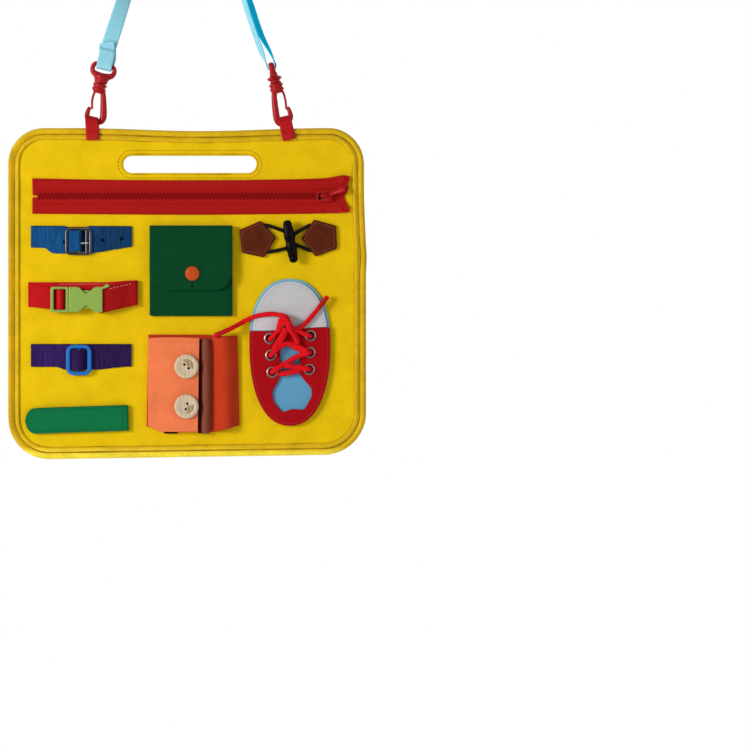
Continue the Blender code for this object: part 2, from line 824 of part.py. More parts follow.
def make_zipper():
    middle = (ZIP_LEFT + ZIP_RIGHT) / 2
    half = (ZIP_RIGHT - ZIP_LEFT) / 2
    tall = TAPE_WIDTH / 2
    outline = [
        (-half, -tall), (half, -tall), (half - TAPE_NOTCH, 0), (half, tall), (-half, tall),
    ]
    tape = keep(sheet("zipper_tape", (outline,), TAPE_THICK), RED_WEBBING)
    tape.location = (middle, outward(GAP + TAPE_THICK / 2), ZIP_Z)

    rear = 2 * GAP + TAPE_THICK
    pitch = (TEETH_RIGHT - TEETH_LEFT) / TEETH_COUNT
    lower, upper = [], []
    for i in range(TEETH_COUNT):
        x = TEETH_LEFT + pitch * i
        lower += [(x, -TEETH_ROOT / 2), (x + pitch / 2, -TEETH_HEIGHT / 2)]
        upper += [(x, TEETH_HEIGHT / 2), (x + pitch / 2, TEETH_ROOT / 2)]
    lower.append((TEETH_RIGHT, -TEETH_ROOT / 2))
    upper.append((TEETH_RIGHT, TEETH_HEIGHT / 2))
    teeth = keep(sheet("zipper_teeth", (lower + upper[::-1],), TEETH_THICK), RED_PLASTIC)
    teeth.location = (0, outward(rear + TEETH_THICK / 2), ZIP_Z)

    ceiling = rear + TEETH_THICK + GAP
    slider_top = ceiling + SLIDER_WALL
    tall = slider_top - rear
    nose = SLIDER_LENGTH / 2
    wide = SLIDER_WIDTH / 2
    outline = [
        (-nose, -wide * 0.86), (nose * 0.2, -wide), (nose, -wide * 0.8),
        (nose, wide * 0.8), (nose * 0.2, wide), (-nose, wide * 0.86),
    ]
    slider = keep(sheet("zipper_slider", (outline,), tall), RED_PLASTIC)
    slider.location = (SLIDER_X, outward(rear + tall / 2), ZIP_Z)
    channel = box(
        "slider_channel",
        (SLIDER_LENGTH + OVERRUN, 2 * (ceiling - rear), TEETH_HEIGHT + 2 * GAP),
        (SLIDER_X, outward(rear), ZIP_Z),
    )
    cut(slider, tool(channel))
    corner = math.hypot(PULL_BAR, PULL_BAR) / 2
    axis_depth = slider_top + GAP + corner
    crown = axis_depth + corner + GAP + BRIDGE_RADIUS
    legs = [
        (SLIDER_X + sign * BRIDGE_HALF * reach, outward(depth), ZIP_Z)
        for sign, reach, depth in (
            (-1, 1.0, slider_top - SLIDER_WALL / 2), (-1, 1.0, axis_depth),
            (-1, 0.75, crown - BRIDGE_RADIUS / 3), (-1, 0.3, crown), (1, 0.3, crown),
            (1, 0.75, crown - BRIDGE_RADIUS / 3), (1, 1.0, axis_depth),
            (1, 1.0, slider_top - SLIDER_WALL / 2),
        )
    ]
    cut(slider, tool(solid_tube("slider_bridge", legs, BRIDGE_RADIUS)), "UNION")

    bar = PULL_BAR / 2
    ring = PULL_RING / 2
    neck = PULL_WIDTH * 0.36
    end = PULL_WIDTH / 2
    far = PULL_LENGTH - bar
    outline = [
        (-bar, -ring * 0.7), (ring * 0.5, -ring), (ring * 1.5, -ring), (ring * 2.1, -neck),
        (far * 0.6, -neck), (far * 0.72, -end), (far - end * 0.5, -end), (far, -end * 0.5),
        (far, end * 0.5), (far - end * 0.5, end), (far * 0.72, end), (far * 0.6, neck),
        (ring * 2.1, neck), (ring * 1.5, ring), (ring * 0.5, ring), (-bar, ring * 0.7),
    ]
    hole = rounded_box(
        PULL_HOLE_LENGTH, PULL_HOLE_WIDTH, (bar, bar), bar + PULL_HOLE_LENGTH / 2, 0, 2
    )
    pull = keep(sheet("zipper_pull", (outline, hole), PULL_BAR), RED_PLASTIC)
    pull.location = (SLIDER_X, outward(axis_depth), ZIP_Z)
    pull.rotation_euler = (0, -math.radians(PULL_SKEW_DEG), 0)


def across_strap(left, right, z, sag, depth_at, count, share_at=None):
    """Stations of a strap that runs along x: z sags in the middle, depth follows a rule."""
    middle = (left + right) / 2
    half = (right - left) / 2
    return [
        (
            (x, outward(depth_at(x)), z - sag * bump(x, middle, half)),
            (0, 0, 1),
            share_at(x) if share_at else 1.0,
        )
        for x in spaced(left, right, count)
    ]


def make_belt():
    rest = GAP + BELT_THICK / 2
    rise = BELT_ARCH_RISE

    def depth(x):
        return rest + rise * bump(x, BELT_ARCH_X, BELT_ARCH_HALF, 0.6)

    def pinch(x):
        return 1.0 - BELT_PINCH_SHARE * bump(x, BELT_ARCH_X, BELT_ARCH_HALF, 0.5)

    belt = keep(
        band(
            "blue_belt",
            across_strap(BELT_LEFT, BELT_RIGHT, BELT_Z, BELT_SAG, depth, 59, pinch),
            BELT_WIDTH,
            BELT_THICK,
        ),
        BELT_BLUE,
    )
    for i in (-1, 1, 2):
        x = BELT_HOLE_X + i * BELT_HOLE_PITCH
        sag = BELT_SAG * bump(x, (BELT_LEFT + BELT_RIGHT) / 2, (BELT_RIGHT - BELT_LEFT) / 2)
        radius = BELT_HOLE / 2
        punch = turned(
            f"belt_punch_{i + 1}",
            [(0, OVERRUN), (radius, OVERRUN), (radius, -OVERRUN), (0, -OVERRUN)],
            12,
        )
        punch.location = (x, outward(rest), BELT_Z - sag)
        cut(belt, tool(punch))

    wire_depth = 2 * GAP + BELT_THICK + BUCKLE_WIRE
    pin_x = BUCKLE_WIDTH / 2 - BUCKLE_PIN_INSET
    ring = rounded_box(
        BUCKLE_WIDTH - 2 * BUCKLE_WIRE,
        BUCKLE_HEIGHT - 2 * BUCKLE_WIRE,
        (BUCKLE_CORNER, BUCKLE_CORNER),
        steps=4,
    )
    hinge_x = BUCKLE_WIDTH / 2 - BUCKLE_WIRE
    buckle = keep(
        solid_tube(
            "belt_buckle", [(x - hinge_x, 0, z) for x, z in ring], BUCKLE_WIRE, closed=True
        ),
        STEEL,
    )
    buckle.location = (BUCKLE_X + hinge_x, outward(wire_depth), BUCKLE_Z)
    reach = BUCKLE_HEIGHT / 2 - BUCKLE_WIRE
    pin = solid_tube(
        "buckle_pin",
        [(pin_x - hinge_x, 0, -reach), (pin_x - hinge_x, 0, reach)],
        BUCKLE_PIN_RADIUS,
    )
    pin.location = buckle.location
    cut(buckle, tool(pin), "UNION")

    start = BUCKLE_PIN_RADIUS + GAP + PRONG_RADIUS
    slot_left = BELT_ARCH_X + BELT_ARCH_HALF * 0.30
    slot_right = BUCKLE_X + pin_x + start + PRONG_RADIUS + GAP
    prong_z = BUCKLE_Z - BUCKLE_HEIGHT * 0.06
    slot_deep = OVERRUN + rise * 0.75
    gate = box(
        "belt_prong_hole",
        (slot_right - slot_left, slot_deep, BELT_HOLE),
        ((slot_left + slot_right) / 2, outward(slot_deep / 2 - OVERRUN / 2), prong_z),
    )
    cut(belt, tool(gate))
    knuckle = [
        (start * math.cos(math.radians(a)), start * math.sin(math.radians(a)), 0)
        for a in range(150, -151, -30)
    ]
    tail = [
        (-start - (PRONG_LENGTH - start) * t, PRONG_DIP * t, 0) for t in (0.15, 0.5, 1.0)
    ]
    path = list(reversed(knuckle)) + tail
    prong = keep(tube("buckle_prong", path, PRONG_RADIUS), STEEL)
    prong.location = (BUCKLE_X + pin_x, outward(wire_depth), prong_z)


def waisted_outline():
    """The clip's body: two ends and a waist that leaves the arms free, with a horn on top."""
    half = CLIP_HEIGHT / 2
    points = [(CLIP_LEFT, half)]
    for x in spaced(CLIP_WAIST_X - CLIP_WAIST_HALF, CLIP_WAIST_X + CLIP_WAIST_HALF, 9):
        points.append((x, half - CLIP_WAIST_DEPTH * bump(x, CLIP_WAIST_X, CLIP_WAIST_HALF)))
    points.append((CLIP_RIGHT, half))
    horn = [
        (CLIP_RIGHT + CLIP_HORN * 0.55, half + CLIP_HORN * 0.35),
        (CLIP_RIGHT + CLIP_HORN, half + CLIP_HORN * 0.30),
        (CLIP_RIGHT + CLIP_HORN * 0.9, half + CLIP_HORN * 0.02),
        (CLIP_RIGHT, half - CLIP_HORN * 0.30),
    ]
    under = [(x, -z) for x, z in reversed(points)]
    return points + horn + under


def make_clip():
    rest = GAP + RED_THICK / 2
    lift = 2 * GAP + RED_THICK

    def fold_depth(x):
        return rest + lift + RED_FOLD_RISE * bump(x, CLIP_RIGHT, RED_RIGHT - CLIP_RIGHT, 0.8)

    tape = [
        ((x, outward(rest), RED_Z), (0, 0, 1)) for x in spaced(RED_LEFT, RED_RIGHT - RED_THICK, 8)
    ]
    turn_radius = lift / 2
    middle_depth = rest + turn_radius
    for step in range(1, 6):
        angle = math.pi * step / 6
        tape.append(
            (
                (
                    RED_RIGHT - RED_THICK + turn_radius * math.sin(angle),
                    outward(middle_depth - turn_radius * math.cos(angle)),
                    RED_Z,
                ),
                (0, 0, 1),
            )
        )
    for x in spaced(RED_RIGHT - RED_THICK, CLIP_RIGHT + CLIP_HORN * 1.15, 8):
        tape.append(((x, outward(fold_depth(x)), RED_Z), (0, 0, 1)))
    keep(band("red_strap", tape, RED_WIDTH, RED_THICK), RED_WEBBING)

    body_rear = lift + GAP
    body_depth = body_rear + CLIP_THICK / 2
    body = keep(sheet("clip_body", (waisted_outline(),), CLIP_THICK, CLIP_ROUND, 2), CLIP_GREEN)
    body.location = (0, outward(body_depth), CLIP_Z)
    cavity = box(
        "clip_cavity",
        (CLIP_CAVITY_LENGTH + OVERRUN, CLIP_CAVITY_DEEP, CLIP_CAVITY_HEIGHT),
        (CLIP_LEFT + (CLIP_CAVITY_LENGTH - OVERRUN) / 2, outward(body_depth), CLIP_Z),
    )
    cut(body, tool(cavity))

    plug_right = CLIP_LEFT - GAP
    ladder_width = plug_right - LADDER_LEFT
    ladder_rear = lift + RED_THICK + GAP
    ladder = sheet(
        "clip_plug",
        (
            rounded_box(ladder_width, LADDER_HEIGHT, (LADDER_BAR * 0.8, LADDER_BAR * 0.8), steps=3),
            rounded_box(
                ladder_width - 2 * LADDER_BAR,
                LADDER_HEIGHT - 2 * LADDER_BAR * 0.75,
                (LADDER_BAR / 4, LADDER_BAR / 4),
                steps=1,
            ),
        ),
        LADDER_THICK,
        CLIP_ROUND / 2,
        1,
    )
    keep(ladder, CLIP_GREEN)
    ladder_x = (plug_right + LADDER_LEFT) / 2
    ladder_depth = ladder_rear + LADDER_THICK / 2
    ladder.location = (ladder_x, outward(ladder_depth), CLIP_Z)
    inner_depth = CLIP_CAVITY_DEEP - 2 * GAP
    post = LADDER_BAR * 0.7
    middle_bar = box(
        "ladder_middle_bar",
        (post, LADDER_THICK * 0.42, LADDER_HEIGHT - LADDER_BAR),
        (
            plug_right - LADDER_BAR - LADDER_ARCH_HALF,
            outward(ladder_rear + LADDER_THICK * 0.24),
            CLIP_Z,
        ),
    )
    cut(ladder, tool(middle_bar), "UNION")
    tongue = box(
        "plug_tongue",
        (CLIP_TONGUE_LENGTH + LADDER_BAR / 2, inner_depth, CLIP_TONGUE_HEIGHT),
        (
            plug_right + (CLIP_TONGUE_LENGTH - LADDER_BAR / 2) / 2,
            outward(body_depth),
            CLIP_Z,
        ),
    )
    cut(ladder, tool(tongue), "UNION")

    bar_x = plug_right - LADDER_BAR - LADDER_ARCH_HALF
    tongue_rest = lift + RED_THICK / 2

    def tongue_depth(x):
        rise = LADDER_THICK * 1.1
        return tongue_rest + rise * bump(x, bar_x, LADDER_ARCH_HALF - 3 * GAP, 0.4)

    web = []
    for x in spaced(RED_LEFT, LADDER_LEFT, 5)[:-1] + spaced(
        bar_x - LADDER_ARCH_HALF, bar_x + LADDER_ARCH_HALF - 3 * GAP, 15
    ):
        away = min(1.0, max(0.0, (bar_x - LADDER_ARCH_HALF - x) / (LADDER_LEFT - RED_LEFT)))
        web.append(
            (
                (x, outward(tongue_depth(x)), CLIP_Z + RED_END_RISE * away),
                (0, 0, 1),
                1.0 - RED_END_PINCH_SHARE * (1.0 - away),
            )
        )
    keep(band("red_strap_end", web, RED_END_WIDTH, RED_THICK), RED_WEBBING)

    for side, name in ((1, "clip_arm_upper"), (-1, "clip_arm_lower")):
        outer = CLIP_CAVITY_HEIGHT / 2 - GAP
        inner = outer - CLIP_ARM_THICK
        pad = inner - (CLIP_ARM_PAD - CLIP_ARM_THICK)
        far = CLIP_ARM_LENGTH
        outline = [
            (GAP, side * inner), (far * 0.55, side * inner), (far * 0.66, side * pad),
            (far * 0.94, side * pad), (far, side * (pad + CLIP_ARM_THICK / 2)),
            (far * 0.97, side * (outer - CLIP_ARM_THICK / 3)), (far * 0.86, side * outer),
            (GAP, side * outer),
        ]
        if side > 0:
            outline.reverse()
        pivot_z = side * (outer + inner) / 2
        arm = sheet(name, ([(x, z - pivot_z) for x, z in outline],), inner_depth)
        keep(arm, CLIP_GREEN)
        arm.location = (plug_right, outward(body_depth), CLIP_Z + pivot_z)


def make_slide():
    rest = GAP + PURPLE_THICK / 2
    keep(
        band(
            "purple_strap",
            across_strap(
                PURPLE_LEFT, PURPLE_RIGHT, PURPLE_Z, PURPLE_SAG, lambda x: rest, 21
            ),
            PURPLE_WIDTH,
            PURPLE_THICK,
        ),
        PURPLE_WEBBING,
    )
    rear = 2 * GAP + PURPLE_THICK
    window = SLIDE_WIDTH - 2 * SLIDE_BAR
    frame = sheet(
        "strap_slide",
        (rounded_box(SLIDE_WIDTH, SLIDE_HEIGHT, (SLIDE_CORNER, SLIDE_CORNER), steps=4),),
        SLIDE_THICK,
        SLIDE_THICK / 6,
        1,
    )
    keep(frame, SLIDE_BLUE)
    frame.location = (SLIDE_X, outward(rear + SLIDE_THICK / 2), SLIDE_Z)
    tall = SLIDE_HEIGHT - 2 * SLIDE_RAIL
    opening = (window - SLIDE_MIDDLE_BAR) / 2
    for sign in (-1, 1):
        side = box(
            f"slide_window_{'left' if sign < 0 else 'right'}",
            (opening, SLIDE_THICK + OVERRUN, tall),
            (
                SLIDE_X + sign * (SLIDE_MIDDLE_BAR + opening) / 2,
                outward(rear + SLIDE_THICK / 2),
                SLIDE_Z,
            ),
        )
        cut(frame, tool(side))
    low = SLIDE_THICK * 0.6
    over_bar = box(
        "over_slide_bar",
        (window - opening, OVERRUN, tall),
        (SLIDE_X, outward(rear + low + OVERRUN / 2), SLIDE_Z),
    )
    cut(frame, tool(over_bar))
    start = rear + PURPLE_THICK / 2
    half = window / 2 - 2 * GAP

    def depth(x):
        return start + SLIDE_ARCH_RISE * bump(x, SLIDE_X, SLIDE_ARCH_HALF, 0.45)

    arch = [
        ((x, outward(depth(x)), SLIDE_Z - GAP), (0, 0, 1))
        for x in spaced(SLIDE_X - half + PURPLE_THICK / 2, SLIDE_X + half - PURPLE_THICK / 2, 13)
    ]
    width = SLIDE_HEIGHT - 2 * SLIDE_RAIL - 4 * GAP
    keep(band("purple_strap_turn", arch, width, PURPLE_THICK), PURPLE_WEBBING)


def folded(front, back, radius, turns=6):
    """Places of a fold: from the front layer's middle round to the back layer's, as (on, depth)."""
    centre = (front + back) / 2
    return [
        (
            radius * math.sin(math.pi * step / turns),
            centre + (front - centre) * math.cos(math.pi * step / turns),
        )
        for step in range(turns + 1)
    ]


def make_green_strap():
    tilt = -math.radians(GREEN_TILT_DEG)
    half = GREEN_WIDTH / 2
    tip = GREEN_TIP_SHARE * GREEN_WIDTH
    pad_depth = GAP + LOOP_PAD_THICK
    hook_rear = pad_depth + GAP
    front = hook_rear + HOOK_PAD_THICK + GAP + GREEN_THICK / 2
    back = GAP + GREEN_THICK / 2
    fold = (front - back) / 2
    axis_depth = (front + back) / 2
    length = GREEN_RIGHT - GREEN_LEFT - fold - GREEN_THICK / 2
    pivot = (
        GREEN_RIGHT - fold - GREEN_THICK / 2, outward(axis_depth), GREEN_Z + half * GREEN_RISE_SHARE,
    )
    hinge = frame_at("green_strap_hinge", pivot, tilt, BOARD)
    stations = [((-length, axis_depth - front, 0), (0, 0, 1))]
    stations += [
        ((along, axis_depth - depth, 0), (0, 0, 1)) for along, depth in folded(front, back, fold)
    ]
    flap = keep(band("green_strap", stations, GREEN_WIDTH, GREEN_THICK), STRAP_GREEN, hinge)
    outline = [(OVERRUN, -half - GAP), (OVERRUN, half + GAP), (-length + tip, half)]
    for step in range(1, 8):
        angle = math.radians(90 + 180 * step / 8)
        outline.append(
            (-length + tip + tip * math.cos(angle), half * math.sin(angle))
        )
    outline.append((-length + tip, -half))
    trim = sheet("green_strap_outline", (outline,), 4 * axis_depth)
    trim.parent = hinge
    cut(flap, tool(trim), "INTERSECT")
    pad_half = half - PAD_INSET
    loop_x = -length + tip * 0.6 + LOOP_PAD_LENGTH / 2
    loop_pad = keep(
        sheet(
            "green_strap_loop_pad",
            (rounded_box(LOOP_PAD_LENGTH, 2 * pad_half, (PAD_INSET, PAD_INSET), steps=2),),
            LOOP_PAD_THICK,
        ),
        STRAP_GREEN,
        hinge,
    )
    loop_pad.location = (loop_x, axis_depth - GAP - LOOP_PAD_THICK / 2, 0)
    hook_x = -length + tip * 0.8 + HOOK_PAD_LENGTH / 2
    hook_pad = keep(
        sheet(
            "green_strap_hook_pad",
            (rounded_box(HOOK_PAD_LENGTH, 2 * pad_half, (PAD_INSET, PAD_INSET), steps=2),),
            HOOK_PAD_THICK,
        ),
        STRAP_GREEN,
        hinge,
    )
    hook_pad.location = (hook_x, axis_depth - hook_rear - HOOK_PAD_THICK / 2, 0)


def make_pocket():
    height = POCKET_TOP - POCKET_BOTTOM
    layer = GAP + POCKET_FELT
    flap_rear = 2 * layer + GAP + SNAP_SPACE
    front_middle = flap_rear + POCKET_FELT / 2
    back_middle = GAP + POCKET_FELT / 2
    fold = (front_middle - back_middle) / 2
    swing = fold + POCKET_FELT / 2
    back_height = height - 2 * swing - GAP
    back = keep(
        sheet("pocket_back", (rounded_box(POCKET_WIDTH, back_height, (GAP, GAP), steps=1),), POCKET_FELT),
        POCKET_GREEN,
    )
    back.location = (POCKET_X, outward(GAP + POCKET_FELT / 2), POCKET_BOTTOM + back_height / 2)
    front_height = back_height - POCKET_MOUTH_DROP
    front = keep(
        sheet("pocket_front", (rounded_box(POCKET_WIDTH, front_height, (GAP, GAP), steps=1),), POCKET_FELT),
        POCKET_GREEN,
    )
    front.location = (
        POCKET_X,
        outward(layer + GAP + POCKET_FELT / 2),
        POCKET_BOTTOM + front_height / 2,
    )

    hinge_z = POCKET_TOP - swing
    axis_depth = (front_middle + back_middle) / 2
    flap_height = hinge_z - FLAP_END
    stations = [((0, axis_depth - front_middle, -flap_height), (-1, 0, 0))]
    stations += [
        ((0, axis_depth - depth, along), (-1, 0, 0))
        for along, depth in folded(front_middle, back_middle, fold)
    ]
    flap = keep(band("pocket_flap", stations, POCKET_WIDTH, POCKET_FELT), POCKET_GREEN)
    flap.location = (POCKET_X, outward(axis_depth), hinge_z)
    outline = rounded_box(
        POCKET_WIDTH + 2 * GAP,
        flap_height + 2 * swing,
        (POCKET_FELT, FLAP_CORNER),
        0,
        swing - flap_height / 2,
        6,
    )
    trim = sheet("pocket_flap_outline", (outline,), 4 * axis_depth)
    trim.location = flap.location
    cut(flap, tool(trim), "INTERSECT")
    punch = turned(
        "pocket_flap_punch",
        [
            (0, POCKET_FELT), (SNAP_POST_RADIUS + GAP, POCKET_FELT),
            (SNAP_POST_RADIUS + GAP, -POCKET_FELT), (0, -POCKET_FELT),
        ],
        12,
    )
    punch.location = (SNAP_X, outward(front_middle), SNAP_Z)
    cut(flap, tool(punch))

    stud_rear = 2 * layer + GAP
    stud_top = stud_rear + STUD_RIM
    pin_top = stud_top + SNAP_SPACE * 0.45
    rise = stud_rear
    stud = keep(
        turned(
            "snap_stud",
            [
                (0, pin_top - rise), (STUD_PIN_RADIUS, pin_top - rise),
                (STUD_PIN_RADIUS * 0.85, stud_top - rise), (STUD_RADIUS, stud_top - rise),
                (STUD_RADIUS, 0), (0, 0),
            ],
            16,
        ),
        SNAP_ORANGE,
    )
    stud.location = (SNAP_X, outward(stud_rear), SNAP_Z)
    socket_rear = stud_top + GAP
    flap_front = flap_rear + POCKET_FELT
    base = socket_rear
    bore = STUD_PIN_RADIUS + GAP
    cap = keep(
        turned(
            "snap_cap",
            [
                (0, flap_front + GAP + SNAP_DOME - base),
                (SNAP_RADIUS * 0.55, flap_front + GAP + SNAP_DOME * 0.88 - base),
                (SNAP_RADIUS * 0.9, flap_front + GAP + SNAP_DOME * 0.5 - base),
                (SNAP_RADIUS, flap_front + GAP + SNAP_DOME * 0.15 - base),
                (SNAP_RADIUS * 0.97, flap_front + GAP - base),
                (SNAP_POST_RADIUS, flap_front + GAP - base),
                (SNAP_POST_RADIUS, flap_rear - GAP - base),
                (STUD_RADIUS, flap_rear - GAP - base),
                (STUD_RADIUS, 0),
                (bore, 0),
                (bore, pin_top + GAP - base),
                (0, pin_top + GAP - base),
            ],
            20,
        ),
        SNAP_ORANGE,
    )
    cap.location = (SNAP_X, outward(socket_rear), SNAP_Z)


def make_toggle():
    for name, x, z, turn in (
        ("leather_patch_left", PATCH_LEFT_X, PATCH_LEFT_Z, PATCH_LEFT_TURN_DEG),
        ("leather_patch_right", PATCH_RIGHT_X, PATCH_RIGHT_Z, PATCH_RIGHT_TURN_DEG),
    ):
        outline = [
            (
                PATCH_SIZE * math.cos(math.radians(turn + 72 * i)),
                PATCH_SIZE * math.sin(math.radians(turn + 72 * i)),
            )
            for i in range(5)
        ]
        patch = keep(sheet(name, (outline,), PATCH_THICK, PATCH_ROUND, 2), LEATHER)
        patch.location = (x, outward(GAP + PATCH_THICK / 2), z)

    cord_depth = GAP + TOGGLE_CORD_RADIUS
    for name, side, start_x, start_z in (
        ("toggle_cord_left", -1, PATCH_LEFT_X, PATCH_LEFT_Z),
        ("toggle_cord_right", 1, PATCH_RIGHT_X, PATCH_RIGHT_Z),
    ):
        near = start_x - side * PATCH_SIZE * 0.62
        upper = TOGGLE_Z + TOGGLE_SPREAD_UP
        lower = TOGGLE_Z - TOGGLE_SPREAD_DOWN
        if side > 0:
            near = start_x - side * PATCH_SIZE * 0.68
        tip = TOGGLE_X + side * (TOGGLE_CORD_RADIUS + 2 * GAP)
        neck_up = TOGGLE_Z + TOGGLE_NECK_UP * (1 if side < 0 else 0.86)
        neck_down = TOGGLE_Z - TOGGLE_NECK_DOWN * (1 if side < 0 else 0.6)
        bend = TOGGLE_TURN
        route = [
            (near, 0, upper),
            (near + (tip - near) * 0.55, 0, (upper + 2 * neck_up) / 3),
            (tip + side * bend * 1.2, 0, neck_up),
            (tip, 0, neck_up - bend),
            (tip, 0, neck_down + bend),
            (tip + side * bend * 1.2, 0, neck_down),
            (near + (tip - near) * 0.55, 0, (lower + 2 * neck_down) / 3),
            (near, 0, lower),
        ]
        cord = keep(tube(name, smooth_path(route, 3), TOGGLE_CORD_RADIUS), BLACK)
        cord.location = (0, outward(cord_depth), 0)

    half = TOGGLE_LENGTH / 2
    radius = TOGGLE_RADIUS
    bar = keep(
        turned(
            "toggle_bar",
            [
                (0, half), (radius * 0.55, half - radius * 0.12), (radius * 0.85, half - radius * 0.45),
                (radius, half - radius), (radius * 1.04, 0), (radius, -half + radius),
                (radius * 0.85, -half + radius * 0.45), (radius * 0.55, -half + radius * 0.12),
                (0, -half),
            ],
            12,
        ),
        BLACK,
    )
    bar.rotation_euler = (0, -math.radians(TOGGLE_LEAN_DEG), 0)
    toggle_depth = GAP * 2 + 2 * TOGGLE_CORD_RADIUS + radius * 1.04
    bar.location = (TOGGLE_X, outward(toggle_depth), TOGGLE_Z)


def make_pouch():
    height = POUCH_TOP - POUCH_BOTTOM
    middle_z = (POUCH_TOP + POUCH_BOTTOM) / 2
    rest = GAP + POUCH_FELT / 2

    def panel_depth(x):
        return rest + POUCH_RISE * bump(x, POUCH_SWELL_X, POUCH_SWELL_HALF, 0.7)

    path = [
        ((x, outward(panel_depth(x)), middle_z), (0, 0, 1))
        for x in spaced(POUCH_LEFT, POUCH_SWELL_X - POUCH_SWELL_HALF, 4)[:-1]
        + spaced(POUCH_SWELL_X - POUCH_SWELL_HALF, POUCH_RIGHT, 13)
    ]
    keep(band("pouch_panel", path, height, POUCH_FELT), RUST_FELT)

    flap_rest = 2 * GAP + POUCH_FELT + FLAP_FELT / 2
    span = FLAP_RIGHT - FLAP_LEFT
    flap_x = FLAP_LEFT
    flap_z = middle_z - FLAP_DROP / 2

    def flap_depth(x):
        return flap_rest + FLAP_RISE * math.sin(math.pi * 0.5 * min(1.0, (x - FLAP_LEFT) / (span * 0.7)))

    flap_path = [
        ((x - flap_x, outward(flap_depth(x)), 0), (0, 0, 1)) for x in spaced(FLAP_LEFT, FLAP_RIGHT, 10)
    ]
    flap = keep(band("pouch_flap", flap_path, height - FLAP_DROP, FLAP_FELT), ORANGE_FELT)
    flap.location = (flap_x, 0, flap_z)

    strip_rear = 2 * GAP + POUCH_FELT
    half = STRIP_WIDTH / 2
    outline = [(half, 0)]
    for step in range(1, 8):
        angle = math.pi * step / 8
        outline.append((half * math.cos(angle), STRIP_TALL * math.sin(angle) ** 0.8))
    outline.append((-half, 0))
    strip = sheet("placket_strip", (outline,), STRIP_LENGTH)
    strip.data.transform(Matrix.Rotation(math.radians(90), 4, "X"))
    keep(strip, LEATHER)
    strip.location = (STRIP_X, outward(strip_rear), middle_z + GAP)

    button_depth = flap_rest + FLAP_RISE + FLAP_FELT / 2 + GAP
    rim = BUTTON_THICK
    for name, z, turn in (
        ("wood_button_upper", BUTTON_UPPER_Z, -40.0),
        ("wood_button_lower", BUTTON_LOWER_Z, 75.0),
    ):
        button = turned(
            name,
            [
                (0, rim - BUTTON_DISH), (BUTTON_RADIUS * 0.62, rim - BUTTON_DISH),
                (BUTTON_RADIUS * 0.78, rim), (BUTTON_RADIUS * 0.93, rim * 0.94),
                (BUTTON_RADIUS, rim * 0.66), (BUTTON_RADIUS * 0.96, rim * 0.2),
                (BUTTON_RADIUS * 0.82, 0), (0, 0),
            ],
            28,
        )
        keep(button, WOOD)
        button.location = (BUTTON_X, outward(button_depth), z)
        for sign in (-1, 1):
            angle = math.radians(turn)
            hole = turned(
                f"{name}_hole_{'a' if sign < 0 else 'b'}",
                [(0, OVERRUN), (BUTTON_HOLE, OVERRUN), (BUTTON_HOLE, -OVERRUN), (0, -OVERRUN)],
                10,
            )
            reach = sign * BUTTON_HOLE_PITCH / 2
            hole.location = (
                BUTTON_X + reach * math.cos(angle),
                outward(button_depth),
                z + reach * math.sin(angle),
            )
            cut(button, tool(hole))


def shoe_outline(inset=0.0, top=None, count=40):
    """Egg shape: a blunt toe above, a longer narrowing heel below."""
    height = SHOE_TOP - SHOE_BOTTOM
    waist = SHOE_TOP - height * SHOE_WAIST_SHARE
    half = SHOE_WIDTH / 2 - inset
    points = []
    for i in range(count):
        angle = 2 * math.pi * i / count
        cosine, sine = math.cos(angle), math.sin(angle)
        if sine >= 0:
            power = 0.88
            reach = SHOE_TOP - inset - waist
        else:
            power = 1.0
            reach = waist - SHOE_BOTTOM - inset
        x = half * math.copysign(abs(cosine) ** power, cosine)
        z = waist + reach * math.copysign(abs(sine) ** power, sine)
        points.append((SHOE_X + x, z))
    return points


def eyelet_places():
    """Centres of the eyelets, by side and row."""
    lean = EYELET_PITCH / 13
    return {
        (end, row): (
            (EYELET_LEFT_X if end == "left" else EYELET_RIGHT_X)
            + (lean * (row - 1) if end == "left" else -lean * (row - 1) / 2),
            EYELET_TOP_Z - EYELET_PITCH * row + (0 if end == "left" else EYELET_PITCH / 6),
        )
        for end in ("left", "right")
        for row in (0, 1, 2)
    }


def lace_routes():
    """The lace's visible stretches, each as x, depth over the leather, and z."""
    place = eyelet_places()
    low = GAP + LACE_RADIUS
    dip = -SHOE_LEATHER * 0.6
    over = EYELET_THICK + 2 * GAP + LACE_RADIUS
    high = low + 2 * LACE_RADIUS + 2 * GAP

    def at(end, row, depth, dx=0.0, dz=0.0):
        x, z = place[end, row]
        return (x + dx, depth, z + dz)

    step = EYELET_BORE
    routes = {}
    routes["lace_rung_lower"] = [
        at("left", 2, dip), at("left", 2, over * 0.75, step * 0.35, step * 0.3),
        at("left", 2, over, step * 1.2, step * 1.0), at("left", 2, low, step * 3.2, step * 2.2),
        at("left", 2, low, step * 5.4, step * 2.4), at("right", 2, low, -step * 3.2, step * 1.2),
        at("right", 2, over, -step * 1.3, step * 0.6),
        at("right", 2, over * 0.75, -step * 0.35, step * 0.2), at("right", 2, dip),
    ]
    routes["lace_rung_middle"] = [
        at("left", 1, dip), at("left", 1, over * 0.75, step * 0.35, step * 0.4),
        at("left", 1, over, step * 1.2, step * 1.3), at("left", 1, low, step * 3.2, step * 3.0),
        at("left", 1, low, step * 5.4, step * 3.8), at("right", 1, low, -step * 3.2, step * 1.8),
        at("right", 1, over, -step * 1.3, step * 0.8),
        at("right", 1, over * 0.75, -step * 0.35, step * 0.3), at("right", 1, dip),
    ]
    return routes, high, at, dip, over


